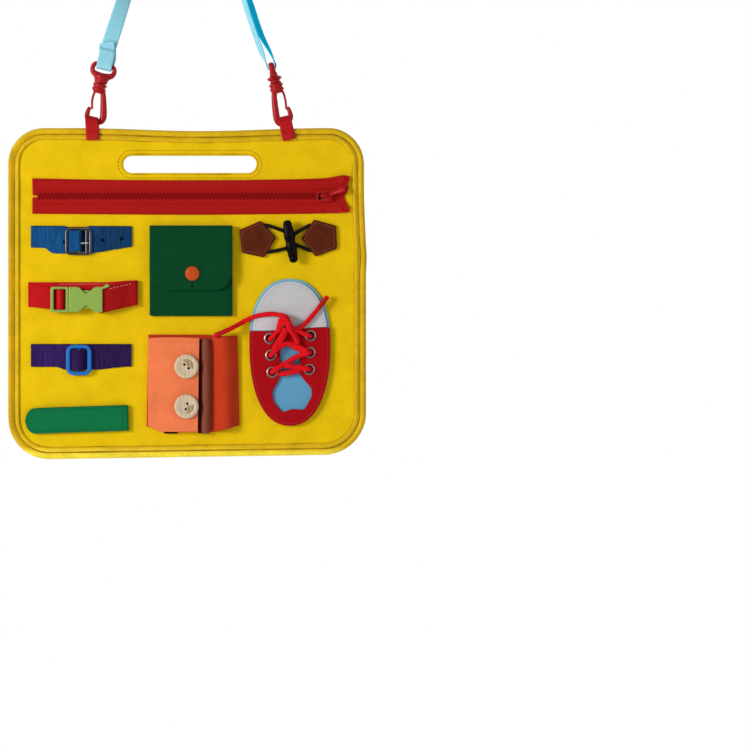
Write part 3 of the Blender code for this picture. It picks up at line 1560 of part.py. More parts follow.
def make_shoe():
    layer = GAP + SHOE_FELT
    keep_base = keep(
        sheet("shoe_base", (shoe_outline(),), SHOE_FELT, SHOE_FELT / 5, 1), SHOE_BLUE
    )
    keep_base.location = (0, outward(GAP + SHOE_FELT / 2), 0)
    skin = sheet("toe_cap", (shoe_outline(SHOE_RIM),), SHOE_LEATHER, SHOE_LEATHER / 5, 1)
    keep(skin, SHOE_GREY)
    skin_depth = layer + GAP + SHOE_LEATHER / 2
    skin.location = (0, outward(skin_depth), 0)
    height = SHOE_TOP - SHOE_BOTTOM
    below = box(
        "below_cap",
        (2 * SHOE_WIDTH, 2 * SHOE_LEATHER, height),
        (SHOE_X, outward(skin_depth), CAP_EDGE_Z - height / 2),
    )
    cut(skin, tool(below))

    upper = sheet("shoe_upper", (shoe_outline(),), SHOE_LEATHER)
    keep(upper, SHOE_RED)
    upper.location = (0, outward(skin_depth), 0)
    above = box(
        "above_upper",
        (2 * SHOE_WIDTH, 2 * SHOE_LEATHER, height),
        (SHOE_X, outward(skin_depth), CAP_EDGE_Z - GAP + height / 2),
    )
    cut(upper, tool(above))
    left = SHOE_X - SHOE_WIDTH / 2
    opening = [
        (left + SHOE_WIDTH * sx, SHOE_TOP - height * sz) for sx, sz in OPENING_SHARES
    ]
    hole = sheet("shoe_opening", (opening[::-1],), 3 * SHOE_LEATHER)
    hole.location = (0, outward(skin_depth), 0)
    cut(upper, tool(hole))
    front = layer + GAP + SHOE_LEATHER
    for (end, row), (x, z) in eyelet_places().items():
        name = f"eyelet_{end}_{row + 1}"
        reach = EYELET_THICK + GAP + SHOE_LEATHER * 0.6
        bore = EYELET_BORE
        wall = bore * 1.13
        punch = turned(
            f"{name}_punch",
            [(0, OVERRUN), (wall + GAP, OVERRUN), (wall + GAP, -OVERRUN), (0, -OVERRUN)],
            14,
        )
        punch.location = (x, outward(front - SHOE_LEATHER), z)
        cut(upper, tool(punch))
        rim = EYELET_RADIUS
        eyelet = turned(
            name,
            [
                (bore, EYELET_THICK * 0.5), ((bore + rim) / 2, EYELET_THICK), (rim, EYELET_THICK * 0.45),
                (rim * 0.97, 0), (wall, 0), (wall, EYELET_THICK - reach), (bore, EYELET_THICK - reach),
            ],
            14,
            closed=True,
        )
        keep(eyelet, STEEL)
        eyelet.location = (x, outward(front + GAP), z)
    routes, high, at, dip, over = lace_routes()
    for name, route in routes.items():
        path = [(x, -depth, z) for x, depth, z in smooth_path(route, 3)]
        lace = keep(tube(name, path, LACE_RADIUS, resolution=1), LACE_RED)
        lace.location = (0, outward(front), 0)
    make_lace_tie(front, high, at, dip, over)


def make_lace_tie(front, high, at, dip, over):
    """The two ends that leave the upper eyelets, tied over each other, as one piece."""
    turn = KNOT_RADIUS
    step = 2 * LACE_RADIUS + GAP
    low = GAP + LACE_RADIUS
    out = EYELET_BORE

    def near(dx, depth, dz):
        return (KNOT_X + turn * dx, depth, KNOT_Z + turn * dz)

    first = [
        at("left", 0, dip), at("left", 0, over * 0.75, out * 0.4, out * 0.5),
        at("left", 0, over * 1.2, out * 1.3, out * 1.3), near(-1.2, high, -1.0),
        near(-0.2, high, 0.0), near(1.1, high - GAP, 0.9), near(2.3, low + step * 0.6, -1.1),
        near(4.0, low + step * 0.3, 0.3), near(5.8, low + GAP, 2.2), near(7.6, low + GAP, 4.2),
    ]
    second = [
        at("right", 0, dip), at("right", 0, over * 0.75, -out * 0.4, out * 0.4),
        at("right", 0, over, -out * 1.3, out * 1.0), near(1.9, high, -1.2),
        near(0.6, high + step * 0.6, -0.7), near(-0.6, high + step * 0.9, 0.3),
        near(-1.9, high + GAP, 1.05), near(-4.0, low + step * 0.5, 0.8),
        near(-6.8, low, -0.1), near(-9.6, low * 0.2, -1.3), near(-11.5, low + step * 0.55, -2.1),
        near(-12.8, low + step * 0.35, -2.9),
    ]
    tubes = []
    for name, route in (("lace_tie", first), ("lace_tie_second_end", second)):
        path = [(x, -depth, z) for x, depth, z in smooth_path(route, 4)]
        made = solid_tube(name, path, LACE_RADIUS, resolution=1)
        made.location = (0, outward(front), 0)
        tubes.append(made)
    keep(tubes[0], LACE_RED)
    cut(tubes[0], tool(tubes[1]), "UNION")


make_board()
make_hook(-1, HOOK_LEFT_X)
make_hook(1, HOOK_RIGHT_X)
lean_shift = BOW_DROP * math.sin(math.radians(HOOK_LEAN_DEG))
make_loop("loop_left", -1, LOOP_LEFT_X, HOOK_LEFT_X - lean_shift)
make_loop("loop_right", 1, LOOP_RIGHT_X, HOOK_RIGHT_X + lean_shift)
make_strap()
make_zipper()
make_belt()
make_clip()
make_slide()
make_green_strap()
make_pocket()
make_toggle()
make_pouch()
make_shoe()

for piece in MODEL.objects:
    if piece.type == "MESH":
        piece.data.shade_smooth()
        piece.data.set_sharp_from_angle(angle=math.radians(35))
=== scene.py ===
import math

import bmesh
import bpy
from mathutils import Matrix, Vector, noise


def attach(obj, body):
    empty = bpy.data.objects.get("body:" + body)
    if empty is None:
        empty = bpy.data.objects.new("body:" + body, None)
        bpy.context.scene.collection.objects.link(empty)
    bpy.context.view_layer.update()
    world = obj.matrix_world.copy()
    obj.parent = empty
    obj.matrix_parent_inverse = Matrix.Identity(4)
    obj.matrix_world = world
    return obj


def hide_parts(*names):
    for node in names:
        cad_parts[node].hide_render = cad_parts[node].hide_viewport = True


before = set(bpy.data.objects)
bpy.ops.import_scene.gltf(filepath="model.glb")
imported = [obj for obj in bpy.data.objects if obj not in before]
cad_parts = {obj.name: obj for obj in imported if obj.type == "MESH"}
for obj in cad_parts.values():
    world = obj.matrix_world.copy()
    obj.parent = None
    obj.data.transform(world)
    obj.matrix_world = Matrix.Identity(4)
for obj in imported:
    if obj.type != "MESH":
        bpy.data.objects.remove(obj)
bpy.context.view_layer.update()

print("frame loaded:", len(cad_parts), "nodes")

# Places and sizes are in millimetres: x and z from the board's middle, depth in front of its felt.
boardPlace = {"faceDepth": 4.3, "middleZ": -370.0}
upward, sideways, frontward = Vector((0, 0, 1)), Vector((1, 0, 0)), Vector((0, -1, 0))


def at(x, depth, z):
    return Vector((x, -(boardPlace["faceDepth"] + depth), boardPlace["middleZ"] + z)) * 0.001


def spaced(first, last, count):
    return [first + (last - first) * i / (count - 1) for i in range(count)]


def bump(x, middle, half, sharp=1.0):
    if abs(x - middle) >= half:
        return 0.0
    return (0.5 + 0.5 * math.cos(math.pi * (x - middle) / half)) ** sharp


def ease(t):
    t = max(0.0, min(1.0, t))
    return t * t * (3 - 2 * t)


def wander(x, z, seed):
    return noise.noise(Vector((x, z, seed)))


def circlePoint(radius, degrees, x=0.0, z=0.0):
    angle = math.radians(degrees)
    return x + radius * math.cos(angle), z + radius * math.sin(angle)


def standing(name, data):
    made = bpy.data.objects.new(name, data)
    bpy.context.scene.collection.objects.link(made)
    return made


def plainMesh(holder):  # what the object is after its modifiers; the object itself goes
    mesh = bpy.data.meshes.new_from_object(
        holder.evaluated_get(bpy.context.evaluated_depsgraph_get())
    )
    bpy.data.objects.remove(holder)
    return mesh


# ---- nodes, shared by the room, the looks and the trees that repeat shapes
class Wire:  # a node's output; sums on it add Math nodes
    def __init__(self, nodes, socket):
        self.nodes, self.socket = nodes, socket

    def maths(self, operation, *others):
        node = self.nodes.add("ShaderNodeMath", {"operation": operation})
        for place, value in enumerate((self, *others)):
            self.nodes.feed(node, place, value)
        return Wire(self.nodes, node.outputs[0])

    def __add__(self, other):
        return self.maths("ADD", other)

    def __sub__(self, other):
        return self.maths("SUBTRACT", other)

    def __rsub__(self, other):
        return self.maths("MULTIPLY_ADD", -1.0, other)

    def __mul__(self, other):
        return self.maths("MULTIPLY", other)

    def __truediv__(self, other):
        return self.maths("DIVIDE", other)


class Nodes:
    def __init__(self, tree):
        self.tree = tree

    def of(self, kind):
        return next(node for node in self.tree.nodes if node.type == kind)

    def add(self, kind, settings=(), **inputs):  # inputs by name, or by number as i0, i1 and so on
        node = self.tree.nodes.new(kind)
        for key, value in dict(settings).items():
            setattr(node, key, value)
        for key, value in inputs.items():
            self.feed(node, int(key[1:]) if key[1:].isdigit() else key.replace("_", " "), value)
        return node

    def feed(self, node, key, value):
        value = value.socket if isinstance(value, Wire) else value
        if hasattr(value, "is_output"):
            self.tree.links.new(value, node.inputs[key])
        else:
            node.inputs[key].default_value = value

    def wire(self, kind, output=0, settings=(), **inputs):
        return Wire(self, self.add(kind, settings, **inputs).outputs[output])

    def stretch(self, value, low, high, outLow=0.0, outHigh=1.0):
        return self.wire(
            "ShaderNodeMapRange", 0, {"clamp": True}, i0=value, i1=low, i2=high, i3=outLow, i4=outHigh
        )

    def cloud(self, vector, scale, detail=2.0, distortion=0.0, rough=0.5):
        return self.wire(
            "ShaderNodeTexNoise", "Fac", Vector=vector, Scale=scale, Detail=detail, Distortion=distortion,
            Roughness=rough,
        )

    def laid(self, vector, scale, turn=(0.0, 0.0, 0.0)):
        return self.wire("ShaderNodeMapping", Vector=vector, Rotation=turn, Scale=scale)

    def part(self, vector, axis):
        return self.wire("ShaderNodeSeparateXYZ", axis, i0=vector)

    def blend(self, share, first, second, kind="MIX"):
        settings = {"data_type": "RGBA", "blend_type": kind}
        return self.wire("ShaderNodeMix", 2, settings, i0=share, i6=first, i7=second)


def declare(tree, way, *sockets):
    for label, kind, value in sockets:
        socket = tree.interface.new_socket(name=label, in_out=way, socket_type="NodeSocket" + kind)
        if value is not None:
            socket.default_value = value


# ---- camera, lights and floor
view = {"x": 0.1576, "y": -5.0045, "z": -0.4387, "distance": 5.0, "shownWidth": 0.6287, "sensor": 36.0}
cameraData = bpy.data.cameras.new("camera")
cameraData.sensor_width = view["sensor"]
cameraData.lens = view["sensor"] * view["distance"] / view["shownWidth"]
cameraData.clip_end = 50
camera = standing("camera", cameraData)
camera.location = (view["x"], view["y"], view["z"])
camera.rotation_euler = (math.radians(90), 0, 0)
bpy.context.scene.camera = camera
bpy.context.scene.view_settings.view_transform = "Standard"

lampAim = (0.0, 0.0, -0.37)
lamps = {  # place, size in metres, power in watts
    "keyLamp": ((-1.76, -1.36, 0.0), 0.8, 39.0),
    "fillLamp": ((1.9, -1.7, -0.2), 1.8, 9.0),
    "backLamp": ((0.9, 1.9, 0.5), 1.2, 36.0),
}
for name, (place, size, power) in lamps.items():
    lampData = bpy.data.lights.new(name, "AREA")
    lampData.shape = "DISK"
    lampData.size = size
    lampData.energy = power
    lamp = standing(name, lampData)
    lamp.location = place
    lamp.rotation_euler = (Vector(lampAim) - Vector(place)).to_track_quat("-Z", "Y").to_euler()

room = {"tint": (0.97, 0.985, 1.0, 1), "strength": 0.23}
world = bpy.data.worlds.new("softRoom")
bpy.context.scene.world = world
world.use_nodes = True
n = Nodes(world.node_tree)
glow = n.of("BACKGROUND")
n.feed(glow, "Color", room["tint"])
n.feed(glow, "Strength", room["strength"])
rays = n.add("ShaderNodeLightPath").outputs
seen = Wire(n, rays["Is Camera Ray"]).maths("MAXIMUM", rays["Is Glossy Ray"])
seen = seen.maths("MAXIMUM", rays["Is Transmission Ray"])
white = n.wire("ShaderNodeBackground", Color=(1, 1, 1, 1), Strength=1.0)
n.feed(n.of("OUTPUT_WORLD"), "Surface", n.wire("ShaderNodeMixShader", i0=seen, i1=glow.outputs[0], i2=white))

floorSizes = {"z": -0.95, "half": 6.0, "far": 1.4, "shade": 0.93, "roughness": 0.9}
floorMesh = bpy.data.meshes.new("floor")
half, low, far = floorSizes["half"], floorSizes["z"], floorSizes["far"]
floorMesh.from_pydata(
    [(-half, -half, low), (half, -half, low), (half, far, low), (-half, far, low)],
    [], [(0, 1, 2, 3)],
)
floor = standing("floor", floorMesh)
floorPaint = bpy.data.materials.new("floorPaint")
floorPaint.use_nodes = True
n = Nodes(floorPaint.node_tree)
n.feed(n.of("BSDF_PRINCIPLED"), "Base Color", (*[floorSizes["shade"]] * 3, 1))
n.feed(n.of("BSDF_PRINCIPLED"), "Roughness", floorSizes["roughness"])
floorMesh.materials.append(floorPaint)
print("camera, lamps and floor set")


# ---- makers of meshes
def reworked(mesh, change):
    work = bmesh.new()
    work.from_mesh(mesh)
    change(work)
    work.to_mesh(mesh)
    work.free()
    return mesh


def turnOutward(work):
    bmesh.ops.recalc_face_normals(work, faces=work.faces)


def finished(name, mesh, sharp=40.0):
    mesh.shade_smooth()
    mesh.set_sharp_from_angle(angle=math.radians(sharp))
    return standing(name, mesh)


def newPiece(name, verts, faces, uvs=None, sharp=40.0):
    mesh = bpy.data.meshes.new(name)
    mesh.from_pydata([tuple(v) for v in verts], [], faces)
    if uvs:
        layer = mesh.uv_layers.new(name="surface")
        for corner, place in enumerate(place for face in uvs for place in face):
            layer.data[corner].uv = place
    return finished(name, reworked(mesh, turnOutward), sharp)


def dress(piece, look, slotName, *nodes, body="board"):
    piece.data.materials.clear()
    piece.data.materials.append(looks[look])
    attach(piece, body)
    if nodes:
        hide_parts(*nodes)
    return piece


def smoothPath(points, steps=4, closed=False):
    points = [Vector(p) for p in points]
    count = len(points)
    result = []
    for i in range(count if closed else count - 1):
        if closed:
            a, b, c, d = (points[(i + k) % count] for k in (-1, 0, 1, 2))
        else:
            b, c = points[i], points[i + 1]
            a = points[i - 1] if i else b * 2 - c
            d = points[i + 2] if i + 2 < count else c * 2 - b
        for step in range(steps):
            t = step / steps
            result.append(0.5 * (
                2 * b + (c - a) * t + (2 * a - 5 * b + 4 * c - d) * t * t
                + (3 * b - a - 3 * c + d) * t * t * t
            ))
    if not closed:
        result.append(points[-1].copy())
    return result


def smoothRoute(route):
    return smoothPath([at(*place) for place in route], 5)


def smoothShares(shares, steps, closed=False):
    return [v.x for v in smoothPath([Vector((share, 0, 0)) for share in shares], steps, closed)]


def lengthOf(path):
    return sum((b - a).length for a, b in zip(path, path[1:]))


def aheadAt(path, i, closed):
    if closed:
        return (path[(i + 1) % len(path)] - path[i - 1]).normalized()
    return (path[min(i + 1, len(path) - 1)] - path[max(i - 1, 0)]).normalized()


def tubeFaces(count, ring, closed):  # quads between the rings, and the two ends where it is open
    faces = []
    for i in range(count if closed else count - 1):
        j = (i + 1) % count
        for k in range(ring):
            m = (k + 1) % ring
            faces.append((i * ring + k, j * ring + k, j * ring + m, i * ring + m))
    if not closed:
        faces += [tuple(range(first, first + ring)) for first in (0, (count - 1) * ring)]
    return faces


def sweep(name, path, sides, profile, closed=False, grow=None, sharp=40.0):
    ring, count = len(profile), len(path)
    around, along = [0.0], [0.0]
    for i in range(ring):
        around.append(around[-1] + math.dist(profile[i], profile[(i + 1) % ring]) * 0.001)
    for i in range(count):
        along.append(along[-1] + (path[(i + 1) % count] - path[i]).length)
    verts, uvs = [], []
    for i, (middle, side) in enumerate(zip(path, sides)):
        ahead = aheadAt(path, i, closed)
        side = (side - ahead * side.dot(ahead)).normalized()
        out = ahead.cross(side)
        wide, tall = grow[i] if grow else (1.0, 1.0)
        for a, o in profile:
            verts.append(middle + (side * (a * wide) + out * (o * tall)) * 0.001)
    for i in range(count if closed else count - 1):
        for k in range(ring):
            u0, u1, v0, v1 = along[i], along[i + 1], around[k], around[k + 1]
            uvs.append(((u0, v0), (u1, v0), (u1, v1), (u0, v1)))
    if not closed:
        for end in (0, count - 1):
            uvs.append([(along[end], around[k]) for k in range(ring)])
    return newPiece(name, verts, tubeFaces(count, ring, closed), uvs, sharp)


def roundTube(name, path, radius, closed=False, segments=12, taper=None, flat=1.0):
    profile = [circlePoint(radius, 360 * k / segments) for k in range(segments)]
    first = aheadAt(path, 0, closed)
    side = upward if abs(first.z) < 0.8 else sideways
    sides = []
    for i in range(len(path)):
        ahead = aheadAt(path, i, closed)
        side = (side - ahead * side.dot(ahead)).normalized()
        sides.append(side)
    grow = [(t, t) for t in taper] if taper else None
    return sweep(name, path, sides, [(a, o * flat) for a, o in profile], closed, grow, 60)


def tape(name, stations, width, thick, selvedge=1.12, count=8):
    half, rise = width / 2, thick / 2
    top = []
    for a in spaced(-half + rise * 0.9, half - rise * 0.9, count):
        top.append((a, rise * (1.0 + (selvedge - 1.0) * ease((abs(a) / half - 0.72) / 0.2))))
    right = [(half - rise * 0.25, rise * 0.72), (half, 0.0), (half - rise * 0.25, -rise * 0.72)]
    profile = top + right + [(a, -o) for a, o in reversed(top)] + [(-a, -o) for a, o in right]
    path = [Vector(s[0]) for s in stations]
    sides = [Vector(s[1]) for s in stations]
    grow = [(s[2] if len(s) > 2 else 1.0, 1.0) for s in stations]
    return sweep(name, path, sides, profile, grow=grow, sharp=50.0)


def ripple(piece, amount, sizeX, sizeZ, seed):
    for v in piece.data.vertices:
        v.co.y += amount * 0.001 * wander(v.co.x * 1000 / sizeX, v.co.z * 1000 / sizeZ, seed)
    return piece


def ribbon(name, xs, topAt, lowAt, depthAt, thick, rows=9):
    lifts = [0.0, 0.75] + [1.0] * rows + [0.75, 0.0]
    verts = []
    for x in xs:
        low, top = lowAt(x), topAt(x)
        zs = [low, low + thick * 0.12] + spaced(low + thick * 0.4, top - thick * 0.4, rows)
        zs += [top - thick * 0.12, top]
        front = list(zip(zs, lifts))
        for z, lift in front + [(z, -lift) for z, lift in reversed(front[1:-1])]:
            verts.append(at(x, depthAt(x) + lift * thick / 2, z))
    faces = tubeFaces(len(xs), 2 * (rows + 4) - 2, False)
    return newPiece(name, verts, faces, [[(verts[c].x, verts[c].z) for c in face] for face in faces], 50.0)


def fuller(piece, amount):
    moves = [v.normal * amount * 0.001 for v in piece.data.vertices]
    for v, move in zip(piece.data.vertices, moves):
        v.co += move
    return piece


def roundedOutline(width, height, topRadius, bottomRadius, x=0.0, z=0.0, steps=8):
    outline = []
    for radius, sx, sz, start in (
        (bottomRadius, 1, -1, 270), (topRadius, 1, 1, 0), (topRadius, -1, 1, 90), (bottomRadius, -1, -1, 180),
    ):
        cx, cz = x + sx * (width / 2 - radius), z + sz * (height / 2 - radius)
        outline += [circlePoint(radius, start + 90 * i / steps, cx, cz) for i in range(steps + 1)]
    return outline


def softLoop(points, soft=2.2):  # each corner rounded
    points = [Vector(p) for p in points]
    loop = []
    for i, corner in enumerate(points):
        before, after = points[i - 1] - corner, points[(i + 1) % len(points)] - corner
        near = min(soft, before.length * 0.45, after.length * 0.45)
        a, b = (corner + way.normalized() * near for way in (before, after))
        for t in spaced(0, 1, 5):
            loop.append(tuple(a * (1 - t) ** 2 + corner * 2 * t * (1 - t) + b * t * t))
    return loop


def plate(name, loops, rear, thick, rounding=0.3, grid=0.0, wave=0.0, waveSize=30.0, seed=0.0, bendAt=None):
    curve = bpy.data.curves.new(name, "CURVE")
    curve.dimensions = "2D"
    curve.fill_mode = "BOTH"
    for loop in loops:
        spline = curve.splines.new("POLY")
        spline.points.add(len(loop) - 1)
        for point, (x, z) in zip(spline.points, loop):
            point.co = (x * 0.001, z * 0.001, 0, 1)
        spline.use_cyclic_u = True
    curve.extrude = (thick / 2 - rounding) * 0.001
    curve.bevel_depth = rounding * 0.001
    curve.bevel_resolution = 2
    curve.offset = -rounding * 0.001
    mesh = plainMesh(standing(name, curve))
    bpy.data.curves.remove(curve)

    def shape(work):
        bmesh.ops.remove_doubles(work, verts=work.verts, dist=2e-6)
        step = grid * 0.001
        for axis, across in enumerate((Vector((1, 0, 0)), Vector((0, 1, 0))) if grid else ()):
            place = min(v.co[axis] for v in work.verts) + step
            high = max(v.co[axis] for v in work.verts)
            while place < high - step * 0.3:
                bmesh.ops.bisect_plane(
                    work, geom=work.verts[:] + work.edges[:] + work.faces[:], dist=1e-7,
                    plane_co=across * place, plane_no=across,
                )
                place += step
        for v in work.verts:
            x, z, lift = v.co.x * 1000, v.co.y * 1000, v.co.z * 1000
            depth = rear + thick / 2 + lift + wave * wander(x / waveSize, z / waveSize, seed)
            v.co = at(x, depth + (bendAt(x, z) if bendAt else 0.0), z)
        turnOutward(work)
        layer = work.loops.layers.uv.new("surface")
        for corner in (corner for face in work.faces for corner in face.loops):
            corner[layer].uv = (corner.vert.co.x, corner.vert.co.z)

    reworked(mesh, shape)
    mesh.materials.clear()
    return finished(name, mesh)


def turned(name, profile, middle, axis=frontward, steps=36, sharp=35.0):  # profile: radius and height
    axis = Vector(axis).normalized()
    across = axis.orthogonal().normalized()
    other = axis.cross(across)
    verts, faces, rows = [], [], []
    for r, h in profile:
        centre = middle + axis * (h * 0.001)
        if r <= 1e-6:
            rows.append([len(verts)])
            verts.append(centre)
            continue
        rows.append(list(range(len(verts), len(verts) + steps)))
        for a, o in (circlePoint(r * 0.001, 360 * k / steps) for k in range(steps)):
            verts.append(centre + across * a + other * o)
    pairs = list(zip(rows, rows[1:])) + ([(rows[-1], rows[0])] if len(rows[0]) > 1 else [])
    for a, b in pairs:
        for k in range(steps):
            m = (k + 1) % steps
            if len(a) == 1 and len(b) > 1:
                faces.append((a[0], b[k], b[m]))
            elif len(b) == 1 and len(a) > 1:
                faces.append((a[k], b[0], a[m]))
            elif len(a) > 1:
                faces.append((a[k], b[k], b[m], a[m]))
    return newPiece(name, verts, faces, None, sharp)


def remeshed(name, mesh, voxel, rounds, keepShare):
    holder = standing(name, mesh)
    remesh = holder.modifiers.new("remesh", "REMESH")
    remesh.mode = "VOXEL"
    remesh.voxel_size = voxel * 0.001
    soften = holder.modifiers.new("soften", "SMOOTH")
    soften.factor = 0.5
    soften.iterations = rounds
    holder.modifiers.new("thin", "DECIMATE").ratio = keepShare
    result = plainMesh(holder)
    result.materials.clear()
    return finished(name, result, 180.0)


def fused(name, parts, voxel=0.3, rounds=4, keepShare=0.3):
    def gather(work):
        for part in parts:
            work.from_mesh(part.data)
            bpy.data.objects.remove(part)

    return remeshed(name, reworked(bpy.data.meshes.new(name), gather), voxel, rounds, keepShare)


def moulded(name, node, voxel=0.3, rounds=6, keepShare=0.35):  # a copy of the solid, its edges softened
    def close(work):
        bmesh.ops.remove_doubles(work, verts=work.verts, dist=1e-6)
        turnOutward(work)

    return remeshed(name, reworked(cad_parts[node].data.copy(), close), voxel, rounds, keepShare)


def cutAway(piece, cutters):
    for cutter in cutters:
        modifier = piece.modifiers.new("cut", "BOOLEAN")
        modifier.operation = "DIFFERENCE"
        modifier.solver = "EXACT"
        modifier.object = cutter
    name = piece.name
    mesh = plainMesh(piece)
    for cutter in cutters:
        bpy.data.objects.remove(cutter)
    return finished(name, mesh)


# ---- patterns: each gives a shade to multiply the colour by, a roughness and a height
def linear(rgb):
    shares = [c / 255 for c in rgb]
    return (*(s / 12.92 if s <= 0.04045 else ((s + 0.055) / 1.055) ** 2.4 for s in shares), 1)


def feltFibres(n, given, place):
    fineness = given["Fineness"]
    mottle = n.cloud(place, fineness * 60.0, 3.0)
    clump = n.cloud(place, fineness * 620.0, 4.0, 1.2, 0.65)
    combed, crossed = (
        n.cloud(n.laid(place, stretchBy, (0.0, turn, 0.0)), fineness * 3300.0, 2.0, 2.2)
        for turn, stretchBy in ((0.5, (0.14, 1.0, 1.0)), (-0.7, (1.0, 1.0, 0.14)))
    )
    height = clump * 0.55 + combed.maths("MAXIMUM", crossed) * 0.45
    shade = (height - 0.52) * given["Fleck"] + (mottle - 0.5) * given["Mottle"]
    return shade * 2.2 + 1.0, n.stretch(clump, 0.2, 0.8, 0.86, 0.98), height


def threadWeave(n, given, place):
    surface = given["surface"]
    u, v = n.part(surface, 0) / given["Along"], n.part(surface, 1) / given["Across"]
    folds = n.stretch(n.cloud(n.laid(surface, (1.0, 0.09, 1.0)), 900.0, 3.0, 0.5, 0.6), 0.34, 0.66)
    crinkle = (folds - 0.5) * given["Crinkle"]
    half = v.maths("FLOOR").maths("MODULO", 2.0) * 0.5
    wave = ((u + half) * math.pi).maths("SINE").maths("ABSOLUTE")
    rib = (v * math.pi).maths("SINE").maths("ABSOLUTE")
    height = wave.maths("POWER", 0.6) * rib.maths("POWER", 0.5)
    fuzz, broad = n.cloud(place, 2400.0), n.cloud(place, 90.0)
    threads = 1.0 - (0.66 - height) * given["Shade"]
    # painted shade: the crinkles darken the colour as well as raising the bump
    amount = threads + crinkle * 2.0 + (fuzz + broad - 1.0) * given["Fleck"]
    return amount, n.stretch(fuzz, 0.2, 0.8, 0.62, 0.85), crinkle * 1.6 + height


def mouldedSkin(n, given, place):
    swirl, grain = n.cloud(place, 120.0, 3.0), n.cloud(place, 3500.0)
    scratch = n.stretch(n.cloud(n.laid(place, (0.08, 1.0, 1.0), (0.4, 0.9, 0.2)), 2600.0, 1.0), 0.62, 0.75)
    rough = given["Base"] + (swirl - 0.5) * 0.14 + scratch * given["Scuff"]
    return (swirl - 0.5) * given["Tint"] * 2.0 + 1.0, rough, grain * 0.6 + swirl * 0.4


def hideGrain(n, given, place):
    cells = n.wire(
        "ShaderNodeTexVoronoi", "Distance", {"feature": "DISTANCE_TO_EDGE"}, Vector=place,
        Scale=given["Grain"]
    )
    fine, broad = n.cloud(place, 2600.0, 3.0), n.cloud(place, 140.0, 3.0, 0.6)
    height = n.stretch(cells, 0.0, 0.16) * 0.75 + fine * 0.25
    amount = 1.0 - (0.8 - height) * given["Shade"] + (broad - 0.5) * given["Wear"]
    return amount, n.stretch(broad, 0.3, 0.7, 0.5, 0.72), height


def braidLay(n, given, place):
    u = n.part(given["surface"], 0) / given["Pitch"]
    v = n.part(given["surface"], 1) / given["Girth"] * given["Strands"]
    height = ((u + v) * math.pi).maths("SINE") * ((u - v) * math.pi).maths("SINE") * 0.5 + 0.5
    fuzz = n.cloud(place, 2800.0)
    amount = 1.0 - (0.5 - height) * given["Shade"] + (fuzz - 0.5) * 0.2
    return amount, n.stretch(fuzz, 0.2, 0.8, 0.7, 0.9), height


def drawnMetal(n, given, place):
    lines = n.cloud(n.laid(place, (1.0, 1.0, 0.1)), 4000.0)
    spots = n.cloud(place, 380.0, 4.0, 0.5)
    return 1.0 - n.stretch(spots, 0.45, 0.75) * given["Tarnish"], given["Base"] + spots * 0.12, lines


def woodRings(n, given, place):
    turn = (0.1, 0.5, 0.0)
    lengthwise = n.laid(place, (1.0, 1.0, 0.16), turn)
    bend = n.cloud(lengthwise, 60.0, 3.0) * 16.0
    ring = (bend + n.part(lengthwise, 0) * given["Ring"] * 6.0).maths("SINE") * 0.5 + 0.5
    fibre = n.cloud(n.laid(place, (1.0, 1.0, 0.05), turn), 4200.0)
    amount = 1.06 - ring * given["Contrast"] - n.stretch(fibre, 0.5, 0.72) * given["Pore"] * 0.4
    return amount, n.stretch(fibre, 0.3, 0.7, 0.42, 0.6), ring * 0.3 + fibre * 0.7


patterns = {  # how each is drawn, and the values a look may change
    "felt": (feltFibres, {"Fleck": 0.12, "Mottle": 0.08, "Fineness": 1.0}),
    "weave": (threadWeave, {"Along": 0.0009, "Across": 0.0007, "Shade": 0.35, "Fleck": 0.1, "Crinkle": 0.1}),
    "moulded": (mouldedSkin, {"Base": 0.3, "Scuff": 0.1, "Tint": 0.05}),
    "hide": (hideGrain, {"Grain": 900.0, "Shade": 0.35, "Wear": 0.15}),
    "braid": (braidLay, {"Pitch": 0.0016, "Girth": 0.0113, "Strands": 8.0, "Shade": 0.4}),
    "metal": (drawnMetal, {"Base": 0.25, "Tarnish": 0.12}),
    "wood": (woodRings, {"Ring": 330.0, "Contrast": 0.22, "Pore": 0.3}),
}
groups = {}
for name, (draw, values) in patterns.items():
    group = groups[name] = bpy.data.node_groups.new(name + "Pattern", "ShaderNodeTree")
    declare(group, "INPUT", ("Colour", "Color", None), *((label, "Float", v) for label, v in values.items()))
    declare(group, "OUTPUT", ("Colour", "Color", None), ("Roughness", "Float", None), ("Height", "Float", None))
    n = Nodes(group)
    given = {socket.name: Wire(n, socket) for socket in n.add("NodeGroupInput").outputs if socket.name}
    places = n.add("ShaderNodeTexCoord").outputs
    given["surface"] = Wire(n, places["UV"])
    amount, roughness, height = draw(n, given, Wire(n, places["Object"]))
    grey = n.wire("ShaderNodeCombineColor", i0=amount, i1=amount, i2=amount)
    colour = n.blend(1.0, given["Colour"], grey, "MULTIPLY")
    n.add("NodeGroupOutput", Colour=colour, Roughness=roughness, Height=height)


def finish(name, rgb, pattern, relief, values=(), **fixed):  # relief: strength and millimetres
    look = bpy.data.materials.new(name)
    look.use_nodes = True
    look.diffuse_color = linear(rgb)
    n = Nodes(look.node_tree)
    drawn = n.add("ShaderNodeGroup", {"node_tree": groups[pattern]}, Colour=linear(rgb), **dict(values))
    strength, distance = relief[0], relief[1] * 0.001
    raised = n.wire("ShaderNodeBump", Strength=strength, Distance=distance, Height=drawn.outputs["Height"])
    fixed.update(Base_Color=drawn.outputs["Colour"], Roughness=drawn.outputs["Roughness"], Normal=raised)
    for key, value in fixed.items():
        n.feed(n.of("BSDF_PRINCIPLED"), key.replace("_", " "), value)
    return look


